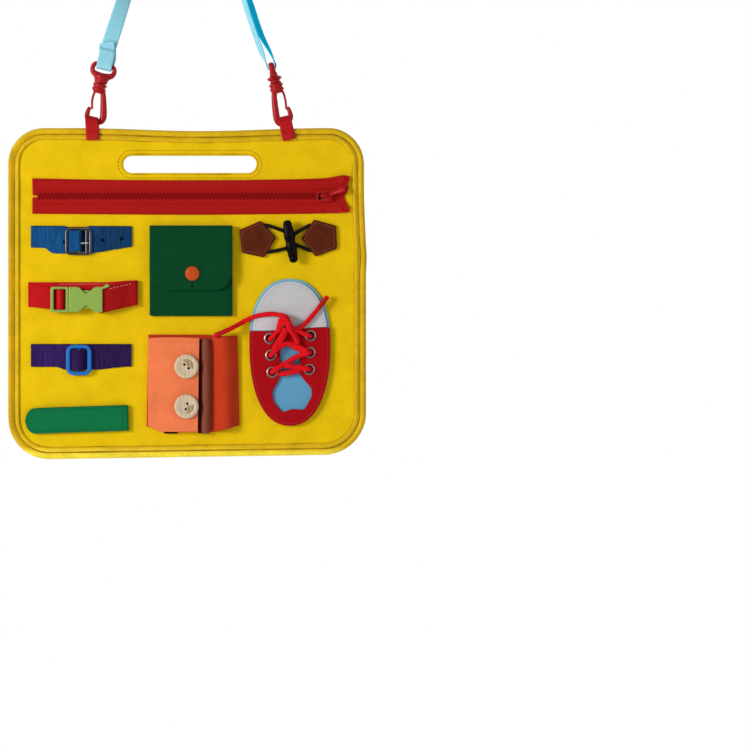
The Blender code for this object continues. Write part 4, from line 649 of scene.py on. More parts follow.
def metal(name, light, dark, base=0.25, tarnish=0.12):
    look = finish(name, light, "metal", (0.03, 0.03), {"Base": base, "Tarnish": tarnish}, Metallic=1.0)
    n = Nodes(look.node_tree)
    # painted reflection: the colour runs from dark where the surface faces the camera to light towards its
    # edges
    facing = n.wire("ShaderNodeLayerWeight", "Facing", Blend=0.35)
    n.feed(n.of("GROUP"), "Colour", n.blend(facing, linear(dark), linear(light)))
    return look


def felt(name, rgb, fleck=0.16, mottle=0.10, fineness=1.0):
    return finish(
        name, rgb, "felt", (0.55, 0.35), {"Fleck": fleck, "Mottle": mottle, "Fineness": fineness},
        Sheen_Weight=0.05, Sheen_Roughness=0.5, Specular_IOR_Level=0.04,
    )


def thread(name, rgb):
    return finish(name, rgb, "felt", (0.4, 0.1), {"Fineness": 2.0}, Specular_IOR_Level=0.1)


def webbing(
    name, rgb, shade=0.5, crinkle=0.08, along=1.3, across=0.9, fleck=0.1, relief=0.6, sheen=0.04, specular=0.1
):
    return finish(name, rgb, "weave", (relief, 0.25), {
        "Along": along * 0.001, "Across": across * 0.001, "Shade": shade, "Crinkle": crinkle, "Fleck": fleck,
    }, Sheen_Weight=sheen, Sheen_Roughness=0.4, Specular_IOR_Level=specular)


def plastic(name, rgb, base=0.32, specular=0.22, coat=0.0):
    return finish(
        name, rgb, "moulded", (0.12, 0.08), {"Base": base}, Coat_Weight=coat, Coat_Roughness=0.12,
        Specular_IOR_Level=specular,
    )


def hide(name, rgb, grain=1000.0, wear=0.15, specular=0.14, relief=(0.5, 0.25)):
    return finish(name, rgb, "hide", relief, {"Grain": grain, "Wear": wear}, Specular_IOR_Level=specular)


def braid(name, rgb, girth, pitch, relief):
    return finish(name, rgb, "braid", (0.6, relief), {"Girth": girth, "Pitch": pitch}, Specular_IOR_Level=0.1)


def wood(name, rgb, contrast, specular):
    return finish(name, rgb, "wood", (0.15, 0.1), {"Contrast": contrast}, Specular_IOR_Level=specular)


recipes = {
    felt: {
        "yellowFelt": ((233, 192, 12), 0.3, 0.14), "paleYellowFelt": ((240, 219, 60), 0.3, 0.14),
        "greenPile": ((20, 112, 66), 0.45, 0.1, 0.8), "darkHole": ((26, 10, 14),),
        "pocketFelt": ((7, 66, 34), 0.4),
        "orangeFelt": ((234, 122, 76), 0.3, 0.22), "rustFelt": ((186, 56, 26),),
        "blueFelt": ((96, 156, 192),),
        "greyFelt": ((196, 194, 196), 0.24), "rimFelt": ((122, 184, 208),), "redFelt": ((168, 12, 20), 0.3),
        "slitFelt": ((4, 26, 14), 0.3), "grooveThread": ((184, 140, 16), 0.5, 0.9),
        "softGroove": ((204, 162, 16), 0.5, 0.9), "redInk": ((224, 92, 56), 0.08, 0.05),
        "greenInk": ((86, 142, 76), 0.08, 0.05), "blueInk": ((76, 136, 152), 0.08, 0.05),
    },
    webbing: {
        "yellowBinding": ((224, 182, 22), 0.35, 0.06, 1.5, 1.1, 0.5),
        "zipTape": ((190, 22, 18), 0.35, 0.05, 0.9, 1.0),
        "redTape": ((200, 17, 24),), "zipBand": ((150, 14, 16), 0.5, 0.08, 0.7, 0.7),
        "loopTape": ((186, 24, 28),),
        "skyTape": ((152, 216, 232), 0.14, 0.04, 1.3, 0.9, 0.1, 0.25, 0.0, 0.0),
        "blueTape": ((14, 78, 132), 0.5, 0.34), "darkBlueTape": ((8, 22, 44), 0.5, 0.2),
        "purpleTape": ((50, 26, 92), 0.5, 0.45), "darkPurpleTape": ((24, 12, 44), 0.5, 0.2),
        "greenTape": ((6, 114, 64), 0.25, 0.06), "darkGreenTape": ((4, 62, 34), 0.3, 0.06),
    },
    plastic: {
        "redPlastic": ((166, 8, 14), 0.42), "zipPlastic": ((158, 14, 18), 0.5, 0.06),
        "sliderPlastic": ((172, 10, 16), 0.42), "greenPlastic": ((138, 168, 74), 0.32, 0.22, 0.08),
        "bluePlastic": ((20, 106, 188), 0.32, 0.22, 0.08), "orangePlastic": ((190, 76, 26), 0.32, 0.12),
        "blackPlastic": ((7, 6, 6), 0.3, 0.05), "laceTip": ((180, 14, 22), 0.3, 0.12),
        "pullEdge": ((208, 66, 66), 0.3, 0.22, 0.08),
    },
    # each metal's second colour is a painted reflection, shown where the surface faces the camera
    metal: {
        "steel": ((246, 246, 248), (176, 178, 184)), "darkSteel": ((226, 206, 200), (40, 40, 46), 0.3, 0.05),
        "eyeletSteel": ((214, 192, 188), (122, 98, 98), 0.3),
    },
    hide: {
        "greyBoard": ((120, 112, 98), 1500.0, 0.15, 0.5, (0.3, 0.2)),
        "brownHide": ((92, 36, 16), 1100.0, 0.9, 0.06),
        "stripHide": ((134, 68, 50),), "darkHide": ((64, 20, 14), 1000.0, 0.15, 0.08),
    },
    braid: {
        "blackCord": ((18, 16, 17), 0.00754, 0.0014, 0.2), "redLace": ((218, 16, 26), 0.0113, 0.0022, 0.3),
    },
    wood: {"paleWood": ((210, 188, 158), 0.14, 0.14), "darkWood": ((176, 150, 116), 0.3, 0.1)},
    thread: {
        "yellowThread": ((158, 114, 12),), "pinkThread": ((212, 92, 92),), "greyThread": ((128, 126, 126),),
        "redThread": ((112, 8, 12),), "tanThread": ((146, 84, 64),), "greenThread": ((10, 60, 34),),
        "paleThread": ((238, 168, 166),), "blueThread": ((16, 70, 140),), "purpleThread": ((52, 26, 98),),
        "orangeThread": ((212, 102, 62),),
    },
}
looks = {name: make(name, *given) for make, family in recipes.items() for name, given in family.items()}

paintedLightAndShade = (  # painted light and shade laid into the colours: the binding darker on its left side and lighter along the bottom, the red, blue and purple straps darker towards their right ends, the sky strap deeper along its far strands; each row gives the look, its second colour, where that fades in and out, and along which axis
    ("yellowBinding", (206, 164, 22), (-0.1502, -0.1492, -0.146, -0.1446), 0, "Object"),
    ("yellowBinding", (255, 228, 60), (-1.0, -0.9, -0.504, -0.499), 2, "Object"),
    ("redTape", (164, 12, 15), (0.083, 0.091, 0.5, 0.6), 0, "UV"),
    ("skyTape", (20, 196, 240), (0.094, 0.1, 0.22, 0.28), 0, "UV"),
    ("blueTape", (10, 56, 96), (-0.082, -0.074, 0.5, 0.6), 0, "UV"),
    ("purpleTape", (40, 20, 72), (-0.084, -0.074, 0.5, 0.6), 0, "UV"),
)
for name, rgb, turns, axis, source in paintedLightAndShade:
    n = Nodes(looks[name].node_tree)
    place = n.part(n.wire("ShaderNodeTexCoord", source), axis)
    share = n.stretch(place, *turns[:2]).maths("MINIMUM", n.stretch(place, *turns[2:], 1.0, 0.0))
    ground = n.of("GROUP").inputs["Colour"]
    before = ground.links[0].from_socket if ground.is_linked else tuple(ground.default_value)
    n.feed(n.of("GROUP"), "Colour", n.blend(share, before, linear(rgb)))
print("looks made:", len(looks))


# ---- a tree that sets one shape out along lines, such as stitches or teeth
def alongLines(name, inputs, setOut, smooth):
    tree = bpy.data.node_groups.new(name, "GeometryNodeTree")
    declare(tree, "INPUT", ("Lines", "Geometry", None), ("Pitch", "Float", 0.003), *inputs)
    declare(tree, "INPUT", ("Finish", "Material", None))
    declare(tree, "OUTPUT", ("Made", "Geometry", None))
    n = Nodes(tree)
    given = n.add("NodeGroupInput").outputs
    curve = n.wire("GeometryNodeMeshToCurve", Mesh=given["Lines"])
    points = n.add("GeometryNodeCurveToPoints", {"mode": "LENGTH"}, Curve=curve, Length=given["Pitch"]).outputs
    placed = n.wire("GeometryNodeInstanceOnPoints", Points=points["Points"], **setOut(n, given, points))
    real = n.wire("GeometryNodeRealizeInstances", Geometry=placed)
    shaded = n.wire("GeometryNodeSetShadeSmooth", Geometry=real, Shade_Smooth=smooth)
    n.add("NodeGroupOutput", Made=n.wire("GeometryNodeSetMaterial", Geometry=shaded, Material=given["Finish"]))
    return tree


def setStitches(n, given, points):
    facing = n.wire("FunctionNodeAlignRotationToVector", 0, {"axis": "X"}, Vector=points["Tangent"])
    sway = n.wire("FunctionNodeRandomValue", 1, {"data_type": "FLOAT"}, Seed=given["Seed"], i2=-1.0, i3=1.0)
    swing = n.wire("ShaderNodeCombineXYZ", X=0.0, Y=sway * given["Sway"])
    turn = n.wire("FunctionNodeEulerToRotation", Euler=swing)
    return {
        "Instance": n.wire("GeometryNodeMeshUVSphere", "Mesh", Segments=8, Rings=5, Radius=0.5),
        "Rotation": n.wire(
            "FunctionNodeRotateRotation", 0, {"rotation_space": "LOCAL"}, Rotation=facing, Rotate_By=turn
        ),
        "Scale": n.wire("ShaderNodeCombineXYZ", X=given["Length"], Y=given["Thick"], Z=given["Thick"]),
    }


stitchTree = alongLines("stitchRow", (
    ("Length", "Float", 0.002), ("Thick", "Float", 0.0005), ("Sway", "Float", 0.1), ("Seed", "Int", 3),
), setStitches, True)


def laidAlong(name, lines, tree, values):
    verts, edges = [], []
    for line in lines:
        edges += [(len(verts) + i, len(verts) + i + 1) for i in range(len(line) - 1)]
        verts += [tuple(p) for p in line]
    mesh = bpy.data.meshes.new(name)
    mesh.from_pydata(verts, edges, [])
    holder = standing(name, mesh)
    modifier = holder.modifiers.new("maker", "NODES")
    modifier.node_group = tree
    for item in tree.interface.items_tree:
        if item.in_out == "INPUT" and item.name in values:
            modifier[item.identifier] = values[item.name]
    return standing(name, plainMesh(holder))


def stitches(name, lines, look, slotName, pitch, length, thick, body="board"):
    piece = laidAlong(name, lines, stitchTree, {
        "Pitch": pitch * 0.001, "Length": length * 0.001, "Thick": thick * 0.001, "Sway": 0.08, "Seed": 3,
        "Finish": looks[look],
    })
    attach(piece, body)


# ---- shoulder strap, lace and toggle cords come first
strapSizes = {"width": 13.0, "thick": 1.1, "length": 0.551, "seamHalf": 5.5}
strapFacing = {
    "turned": (0, 1, 0), "twist": (0.689, 0.707, -0.159), "front": (0.974, 0, -0.225),
    "leftward": (-0.24, 0.968, -0.09), "rightward": (0.3, 0.948, 0.112), "slight": (0.13, 0.99, 0.05),
}
strapRoute = [  # metres, from the end sewn on the adjuster to the end sewn by the left hook
    ("turned", (.0396, 0, -.0886)), ("turned", (.0404, 0, -.0911)), ("turned", (.0405, 0, -.0967)),
    ("turned", (.0427, 0, -.1058)), ("leftward", (.0477, 0, -.1244)), ("leftward", (.0530, 0, -.1412)),
    ("leftward", (.0574, 0, -.1541)), ("leftward", (.0622, 0, -.1670)), ("turned", (.0660, 0, -.1762)),
    ("turned", (.0675, 0, -.1805)), ("turned", (.0697, 0, -.1825)), ("turned", (.0733, 0, -.1817)),
    ("turned", (.0743, 0, -.1785)), ("turned", (.0726, 0, -.1745)), ("slight", (.0693, 0, -.1670)),
    ("rightward", (.0623, 0, -.1541)), ("rightward", (.0577, 0, -.1412)), ("rightward", (.0522, 0, -.1244)),
    ("turned", (.0449, 0, -.1051)), ("turned", (.0428, 0, -.0987)), ("turned", (.0421, 0, -.0962)),
    ("turned", (.0447, 0, -.0897)), ("turned", (.0439, 0, -.0872)), ("turned", (.0380, 0, -.0834)),
    ("turned", (.0372, 0, -.0810)), ("turned", (.0362, 0, -.0742)), ("turned", (.0177, 0, -.0124)),
    ("turned", (.0151, 0, -.0072)), ("turned", (.0109, 0, -.0030)), ("turned", (.0058, 0, -.0004)),
    ("turned", (0, 0, .0006)), ("turned", (-.0058, 0, -.0004)), ("turned", (-.0109, 0, -.0030)),
    ("turned", (-.0150, 0, -.0072)), ("turned", (-.0177, 0, -.0124)),
    ("twist", (-.0414, .0003, -.0867)),
    ("front", (-.0651, .0007, -.1610)), ("front", (-.0660, .0014, -.1645)),
    ("front", (-.0662, .0029, -.1722)), ("front", (-.0675, .0036, -.1765)),
    ("front", (-.0692, .0036, -.1802)), ("front", (-.0700, .0018, -.1821)),
    ("front", (-.0700, -.0018, -.1821)), ("front", (-.0696, -.0036, -.1803)),
    ("front", (-.0688, -.0036, -.1768)), ("front", (-.0678, -.0029, -.1726)),
    ("front", (-.0670, -.0017, -.1643)), ("front", (-.0675, -.0019, -.1598)),
]
strapPath = smoothPath([p for k, p in strapRoute])
strapSides = smoothPath([strapFacing[k] for k, p in strapRoute])
strap = tape("shoulderStrap", list(zip(strapPath, strapSides)), strapSizes["width"], strapSizes["thick"])
dress(strap, "skyTape", "sky_webbing", "shoulder_strap")
print("strap length", round(lengthOf(strapPath), 4))
adjuster = moulded("strapAdjuster", "strap_adjuster", 0.22, 8, 0.3)
dress(adjuster, "redPlastic", "red_plastic", "strap_adjuster")
across = Vector(strapFacing["front"]) * strapSizes["seamHalf"] * 0.001
seamMiddles = (Vector((-.0674, -.0027, -.1652)), Vector((-.0676, -.0028, -.1664)))
strapSeam = [[middle - across, middle + across] for middle in seamMiddles]
stitches("strapSeam", strapSeam, "blueThread", "sky_webbing", 1.9, 1.4, 0.4)

# lace: x, depth and z of each stretch; the free ends run from an eyelet through the tie to the tip
laceSizes = {"thick": 3.9, "rung": 4.5, "tipLength": 12.0, "tipSwell": 1.04, "tipEnd": 0.82}
laceEnds = {
    "laceLeftEnd": [
        (103.6, 3.0, -36.3), (103.0, 6.2, -35.9), (99.5, 6.9, -34.6), (95.6, 6.2, -32.9), (90.6, 7.4, -30.4),
        (87.2, 9.4, -27.8), (85.5, 10.6, -24.2), (83.9, 10.4, -21.0), (81.3, 9.4, -19.2), (77.6, 7.4, -18.4),
        (72.5, 5.9, -17.6), (67.4, 5.3, -17.8), (61.0, 4.4, -18.8), (55.0, 3.7, -20.4), (47.5, 3.0, -24.0),
        (42.8, 4.6, -26.8), (39.0, 7.6, -28.8), (35.0, 9.6, -30.9), (29.0, 9.4, -33.4), (23.2, 8.6, -35.9),
    ],
    "laceRightEnd": [
        (69.6, 3.0, -38.9), (70.4, 6.2, -37.8), (73.2, 7.0, -35.2), (76.2, 7.0, -31.4), (77.4, 7.8, -27.0),
        (78.4, 10.2, -23.0), (81.2, 13.2, -20.9), (84.6, 13.6, -23.0), (87.0, 10.8, -27.2),
        (89.8, 7.6, -30.2),
        (93.8, 6.0, -29.8), (98.8, 5.7, -26.0), (105.3, 5.4, -18.7),
        (111.7, 5.2, -11.0), (118.1, 4.6, -2.8),
    ],
}
for name, route in laceEnds.items():
    path = smoothRoute(route)
    lace = dress(roundTube(name, path, laceSizes["thick"] / 2), "redLace", "red_lace", "lace_tie")
    tip = path[:-2:-1]
    while lengthOf(tip) <= laceSizes["tipLength"] * 0.001:
        tip.append(path[-1 - len(tip)])
    taper = [laceSizes["tipEnd"]] + [laceSizes["tipSwell"]] * (len(tip) - 1)
    laceTip = roundTube(name + "Tip", tip, laceSizes["thick"] / 2, segments=14, taper=taper)
    dress(laceTip, "laceTip", "red_lace", "lace_tie")
    lengthOf(path)
    print(name, "length", round(lengthOf(path), 4))

rungs = {
    "laceRungLower": ("lace_rung_lower", [
        (71.4, 3.2, -66.4), (72.6, 6.4, -65.5), (76.0, 6.6, -62.8), (83.2, 5.6, -58.6), (90.0, 5.6, -54.6),
        (95.4, 5.8, -52.2), (100.0, 6.7, -50.6), (102.3, 6.3, -50.1), (103.1, 3.2, -49.9),
    ]),
    "laceRungMiddle": ("lace_rung_middle", [
        (70.3, 3.2, -52.3), (71.2, 6.3, -51.4), (74.0, 6.6, -48.6), (78.0, 5.6, -45.2), (82.0, 5.6, -43.0),
        (86.0, 5.6, -42.6), (91.0, 5.6, -43.8), (96.4, 5.8, -46.2), (100.4, 6.6, -48.4), (103.0, 3.6, -49.4),
    ]),
    "laceRungUpper": ("lace_rung_middle", [
        (102.6, 3.2, -64.0), (101.4, 6.4, -63.6), (97.6, 6.4, -62.8), (90.6, 5.8, -61.8), (85.6, 6.6, -61.2),
        (80.4, 3.6, -60.6),
    ]),
    "laceRungBottom": ("lace_rung_lower", [
        (76.6, 2.7, -67.4), (79.6, 4.6, -67.6), (83.0, 5.4, -67.2), (88.4, 5.6, -66.2), (93.4, 5.4, -65.2),
        (96.2, 3.0, -64.6),
    ]),
    "laceRiserLeft": ("lace_rung_middle", [
        (77.2, 5.6, -46.0), (78.8, 5.6, -41.6), (80.6, 5.6, -37.0), (82.4, 6.2, -33.2), (84.0, 8.4, -29.8),
    ]),
    "laceRiserOuter": ("lace_rung_middle", [
        (72.8, 5.4, -48.6), (75.0, 5.6, -43.4), (78.2, 5.8, -38.0), (80.8, 6.6, -33.2), (82.6, 8.6, -28.6),
    ]),
    "laceBackRung": ("lace_rung_middle", [
        (86.6, 5.0, -43.0), (90.4, 5.0, -45.4), (94.4, 5.0, -47.2), (98.4, 5.0, -48.6), (102.0, 4.4, -50.4),
    ]),
    "laceKnot": ("lace_tie", [
        (76.6, 7.0, -32.4), (77.8, 9.2, -27.8), (80.6, 11.2, -24.9), (84.2, 11.6, -26.0), (86.2, 10.4, -29.6),
        (88.6, 8.2, -33.4), (91.2, 6.4, -37.4), (92.6, 5.6, -41.6),
    ]),
    "laceRiserRight": ("lace_rung_middle", [
        (93.2, 5.6, -42.4), (92.2, 5.6, -38.8), (90.6, 5.8, -35.4), (88.6, 6.6, -31.6), (86.2, 9.2, -27.6),
    ]),
}
for name, (node, route) in rungs.items():
    dress(roundTube(name, smoothRoute(route), laceSizes["rung"] / 2), "redLace", "red_lace", node)
print("cords made")


# ---- board: two felt faces, core and edge binding
boardSizes = {
    "width": 300.0, "height": 275.0, "cornerTop": 30.0, "cornerBottom": 35.0, "feltInset": 1.2,
    "coreInset": 2.9,
    "slotX": 2.3, "slotZ": 108.0, "slotLength": 111.8, "slotHeight": 14.5, "slotSeam": 4.2, "lineStep": 5.0,
}


def hung(x, z):  # the slight waves of the real outline
    top = 0.8 - 2.5 * bump(x, 12, 105)
    low = 0.1 + 0.0152 * x
    side = -1.7 * ease((z - 30) / 60) + 0.6 * bump(z, 30, 16)
    return (
        x + side * ease((x - 110) / 30),
        z + top * ease((z - 92) / 30) + low * ease((-z - 90) / 30),
    )


def boardLine(inset, steps=10):
    b = boardSizes
    loop = [Vector(p) for p in roundedOutline(
        b["width"] - 2 * inset, b["height"] - 2 * inset, b["cornerTop"] - inset, b["cornerBottom"] - inset,
        steps=steps,
    )]
    line = []
    for a, c in zip(loop, loop[1:] + loop[:1]):
        pieces = max(1, int((c - a).length / b["lineStep"] + 0.5))
        line += [hung(*a.lerp(c, i / pieces)) for i in range(pieces)]
    return line


def slotLine(grow=0.0, steps=10):
    b = boardSizes
    radius = b["slotHeight"] / 2 + grow - 0.01
    return roundedOutline(
        b["slotLength"] + 2 * grow, b["slotHeight"] + 2 * grow, radius, radius, b["slotX"], b["slotZ"], steps
    )


feltLoops = [boardLine(boardSizes["feltInset"]), slotLine()]
for name, rear, seed, look, slotName, node in (
    ("frontFelt", -2.0, 1.3, "yellowFelt", "yellow_felt", "front_panel"),
    ("backFelt", -8.6, 5.1, "paleYellowFelt", "pale_yellow_felt", "back_panel"),
):
    dress(plate(name, feltLoops, rear, 2.0, 0.35, 9.0, 0.16, 34.0, seed), look, slotName, node)
core = plate("coreBoard", [boardLine(boardSizes["coreInset"]), slotLine(1.5)], -6.3, 4.0)
dress(core, "greyBoard", "core", "core_board")

bindingSizes = {"reach": 9.85, "seam": 5.3, "joinX": 140.0, "joinZ": 26.0, "joinSwell": 0.02, "uneven": 0.008}
bindingOuter = [
    (4.45, -9.5), (5.0, -9.55), (5.45, -9.1), (5.68, -8.3), (5.62, -7.4), (5.2, -6.5), (4.7, -5.7),
    (4.6, -5.3),
    (4.7, -4.9), (5.2, -4.1), (5.55, -3.1), (5.6, -2.2), (5.35, -1.2), (4.75, -0.45), (3.7, -0.1),
    (2.0, 0.08),
    (0.0, 0.12),
]
bindingProfile = bindingOuter + [(-a, o) for a, o in reversed(bindingOuter[:-1])]
bindingProfile += [(-4.42, -5.0), (-4.42, -1.05), (4.42, -1.05), (4.42, -5.0)]
bindingLine, bindingGrow = boardLine(0.0, 12), []
for x, z in bindingLine:
    swell = 1.0 + bindingSizes["uneven"] * wander(x / 9, z / 9, 2.0)
    joined = x > bindingSizes["joinX"] and z < bindingSizes["joinZ"]
    bindingGrow.append((swell + (bindingSizes["joinSwell"] if joined else 0.0), 1.0))
binding = sweep(
    "edgeBinding", [at(x, -boardPlace["faceDepth"], z) for x, z in bindingLine],
    [frontward] * len(bindingLine),
    bindingProfile, closed=True, grow=bindingGrow, sharp=60,
)
dress(binding, "yellowBinding", "yellow_felt", "edge_binding")


def lineAt(loop, depth, closed=True):
    line = [at(x, depth, z) for x, z in loop]
    return line + line[:1] if closed else line


seamLine, slotSeamLine = boardLine(bindingSizes["seam"], 12), slotLine(boardSizes["slotSeam"], 12)
for name, line, depths, *sizes in (
    ("bindingSeam", seamLine, (0.62, -9.22), 2.5, 1.8, 0.8),
    ("slotSeam", slotSeamLine, (0.1, -8.7), 2.9, 2.1, 0.55),
):
    stitches(name, [lineAt(line, depth) for depth in depths], "yellowThread", "yellow_felt", *sizes)
grooves = (  # dark lines painted as the shade in the seam groove, along the binding's inner edge and round the slot; each gives line, radius, flatness, look, and depth on the front and on the back
    ("seamGroove", seamLine, 1.0, 0.3, "grooveThread", (0.36, -8.96)),
    ("edgeGroove", boardLine(bindingSizes["reach"], 12), 0.4, 0.4, "softGroove", (0.16, -8.76)),
    ("slotGroove", slotLine(1.2, 12), 0.5, 0.4, "softGroove", (0.02, -8.62)),
)
for k, face in enumerate(("Front", "Back")):
    for name, line, radius, flat, look, depths in grooves:
        groove = roundTube(name + face, lineAt(line, depths[k], False), radius, True, 8, flat=flat)
        dress(groove, look, "yellow_felt")
print("board made")

# ---- loops over the top edge and the two snap hooks
loopSizes = {
    "width": 11.0, "thick": 1.3, "bottom": 128.2, "centre": 141.47, "radius": 6.45, "lean": 13.0,
    "seamShare": 0.42,
}
loopPlaces = {"left": (-1, -78.8, -80.04), "right": (1, 85.8, 81.54)}
hookPlaces = {"left": (-1, -72.8), "right": (1, 74.3)}
hookSizes = {
    "rise": 175.8, "lean": 13.0, "swing": 7.0, "longer": 1.06, "ring": 1.78, "ringDeep": 1.35, "bow": 2.3,
    "gateHalf": 1.9, "gateDeep": 0.95,
}


def tilted(path, base, side):  # the right hook's bow swings in and is a little longer and narrower
    if side < 0:
        return path
    turn = Matrix.Rotation(math.radians(-hookSizes["swing"]), 3, "Y") * hookSizes["longer"]
    narrow = [base + turn @ (p - base) for p in path]
    for p in narrow:
        p.x -= 0.3 * max(0.0, p.x - base.x - 0.006)
    return narrow


eyeRing = [  # across, up and share of the ring's thickness, right half from the top
    (0.0, 16.05, 1.1), (4.5, 16.1, 1.1), (7.7, 15.6, 1.08), (9.2, 13.4, 1.06), (9.2, 10.8, 1.15),
    (8.2, 8.6, 1.3), (6.0, 7.2, 1.5), (3.0, 6.5, 1.6), (0.0, 6.3, 1.6),
]
eyeBody = [
    (0, 8.2), (3.4, 7.8), (4.2, 6.0), (5.9, 5.4), (6.3, 4.5), (5.8, 3.5), (4.2, 2.8), (4.0, 1.6), (5.0, 1.0),
    (5.0, 0.3),
    (2.4, 0.2), (2.4, -2.0), (0, -2.2),
]
eyeNeck = [
    (0, 8.4), (5.2, 7.8), (6.9, 6.2), (6.7, 4.6), (6.0, 3.2), (5.5, 1.4), (5.4, 0.3), (2.4, 0.2), (2.4, -2.0),
    (0, -2.2),
]
collar = [
    (0, -2.6), (2.9, -2.6), (2.9, 0.0), (5.2, 0.0), (6.0, -0.7), (6.1, -1.5), (5.4, -2.2), (5.3, -3.5),
    (6.0, -4.1), (6.1, -5.1), (5.4, -6.2), (4.2, -8.0), (0, -8.6),
]
hookRoute = [  # across, up and radius from the collar round to the nose
    (2.9, -4.6, 2.2), (4.6, -9.3, 2.45), (6.4, -16.0, 2.75), (8.0, -23.0, 2.95), (8.6, -27.6, 2.95),
    (7.4, -30.9, 2.7),
    (3.4, -32.0, 2.4), (-0.8, -32.0, 2.3), (-3.6, -30.9, 2.3), (-4.9, -28.6, 2.2), (-5.0, -25.8, 2.0),
    (-4.7, -23.2, 1.7), (-4.3, -21.2, 1.4),
]
gateRoute = [(-2.3, -6.6), (-3.3, -9.2), (-3.6, -12.6), (-3.4, -16.2), (-2.7, -19.6), (-2.1, -22.6)]
gateEdge = [(-1, -0.5), (-0.8, -1), (0.8, -1), (1, -0.5), (1, 0.5), (0.8, 1), (-0.8, 1), (-1, 0.5)]
for end, (side, baseX, topX) in loopPlaces.items():
    s = loopSizes
    line = [(-s["radius"], z) for z in spaced(s["bottom"], s["centre"], 5)]
    line += [circlePoint(s["radius"], 180 - 180 * step / 16, 0.0, s["centre"]) for step in range(1, 16)]
    line += [(s["radius"], z) for z in spaced(s["centre"], s["bottom"], 5)]
    stations = []
    for y, z in line:
        share = (z - s["bottom"]) / (s["centre"] + s["radius"] - s["bottom"])
        lean = side * math.radians(s["lean"]) * share
        middle = Vector((baseX + (topX - baseX) * share, y, boardPlace["middleZ"] + z)) * 0.001
        stations.append((middle, (math.cos(lean), 0, math.sin(lean))))
    dress(tape(end + "Loop", stations, s["width"], s["thick"]), "loopTape", "red_webbing", "loop_" + end)
    rows = [[
        Vector((baseX + k * s["width"] * s["seamShare"], y, boardPlace["middleZ"] + s["bottom"] + up)) * 0.001
        for k in (-1, 1)
    ] for y in (-s["radius"] - 0.75, s["radius"] + 0.75) for up in (1.6, 3.4)]
    stitches(end + "LoopSeam", rows, "pinkThread", "red_webbing", 1.8, 1.25, 0.34)

for end, (side, middleX) in hookPlaces.items():
    s = hookSizes
    lean = math.radians(s["lean"]) * side
    hookX = Vector((math.cos(lean), 0, math.sin(lean)))
    hookUp = Vector((-math.sin(lean), 0, math.cos(lean)))
    eyeX = Vector((0, 1, 0)) if side > 0 else hookX
    base = Vector((middleX, 0, boardPlace["middleZ"] + s["rise"])) * 0.001
    ring = eyeRing + [(-x, z, share) for x, z, share in eyeRing[-2:0:-1]]
    ringPath = smoothPath([base + (eyeX * x + hookUp * z) * 0.001 for x, z, share in ring], 3, closed=True)
    ringShares = smoothShares([share for x, z, share in ring], 3, closed=True)
    eye = fused(end + "HookEye", [
        roundTube("ring", ringPath, s["ring"], True, 12, ringShares, s["ringDeep"]),
        turned("eyeBody", eyeBody if side > 0 else eyeNeck, base, hookUp, 28),
    ], 0.24, 4, 0.3)
    dress(eye, "redPlastic", "red_plastic", f"hook_{end}_eye")
    bowPath, gatePath = (tilted(smoothPath([
        base + (hookUp * p[1] - hookX * side * p[0]) * 0.001 for p in route
    ]), base, side) for route in (hookRoute, gateRoute))
    bowShares = [r / s["bow"] for r in smoothShares([r for x, z, r in hookRoute], 4)]
    hook = fused(end + "Hook", [
        roundTube("bow", bowPath, s["bow"], False, 14, bowShares), turned("collar", collar, base, hookUp, 32),
    ], 0.26, 3, 0.3)
    dress(hook, "redPlastic", "red_plastic", f"hook_{end}", body="hook_" + end)
    gateProfile = [(a * s["gateHalf"], b * s["gateDeep"]) for a, b in gateEdge]
    gate = sweep(end + "HookGate", gatePath, [Vector((0, 1, 0))] * len(gatePath), gateProfile)
    dress(gate, "redPlastic", "red_plastic", f"hook_{end}_gate", body="gate_" + end)
print("loops and hooks made")


# ---- zipper
zipSizes = {
    "z": 81.2, "teethLeft": -124.9, "teethRight": 110.6, "teethEnd": 0.8, "depth": 2.3,
    "pitch": 1.55, "toothLong": 1.0, "toothTall": 5.2, "toothDeep": 1.5, "toothTaper": 0.8,
    "toothBevel": 0.28,
    "lean": 0.3,
}
zipLow = ((-129.7, 66.4), (-70, 66.0), (0, 65.6), (60, 66.0), (110, 66.6), (136.0, 67.6))
zipCrumpled = [
    (136.6, 70.4), (134.6, 73.8), (132.6, 77.6), (131.8, 81.0), (134.4, 84.6), (135.9, 88.4), (134.6, 91.2),
    (136.6, 94.4),
]
zipTop = (
    (136.0, 98.0), (131.0, 98.8), (124.0, 97.6), (110, 96.0), (60, 94.9), (0, 94.3), (-70, 95.0),
    (-129.7, 96.2),
)
zipNotch = [(-129.4, 81.9), (-125.3, 81.6), (-125.3, 80.4), (-129.6, 80.0)]
zipOutline = [tuple(p) for p in smoothPath(zipLow, 3)] + zipCrumpled
zipOutline += [tuple(p) for p in smoothPath(zipTop, 3)] + zipNotch


def tapeLift(x, z):
    corner = ease((x - 116) / 18) * ease((z - 84) / 12)
    lower = ease((x - 124) / 12) * ease((78 - z) / 10)
    crumple = abs(wander(x / 5.2, z / 4.6, 1.7)) * ease((x - 119) / 10) * ease(abs(z - 81) / 6 - 0.6)
    return 1.4 * corner + 0.6 * lower + 3.4 * crumple


dress(
    plate("zipTape", [zipOutline], 0.3, 0.9, 0.2, 2.4, 0.14, 16.0, 4.0, tapeLift), "zipTape", "red_webbing",
    "zipper_tape",
)


def shapeTooth(work):
    s = zipSizes
    bmesh.ops.create_cube(work, size=1.0)
    for v in work.verts:
        taper = s["toothTaper"] if v.co.z > 0 else 1.0
        v.co.x *= s["toothLong"] * taper * 0.001
        v.co.y *= s["toothDeep"] * 0.001
        v.co.z *= s["toothTall"] * 0.001
    bmesh.ops.bevel(
        work, geom=work.edges[:] + work.verts[:], offset=s["toothBevel"] * 0.001, segments=1, affect="EDGES",
        profile=0.5,
    )


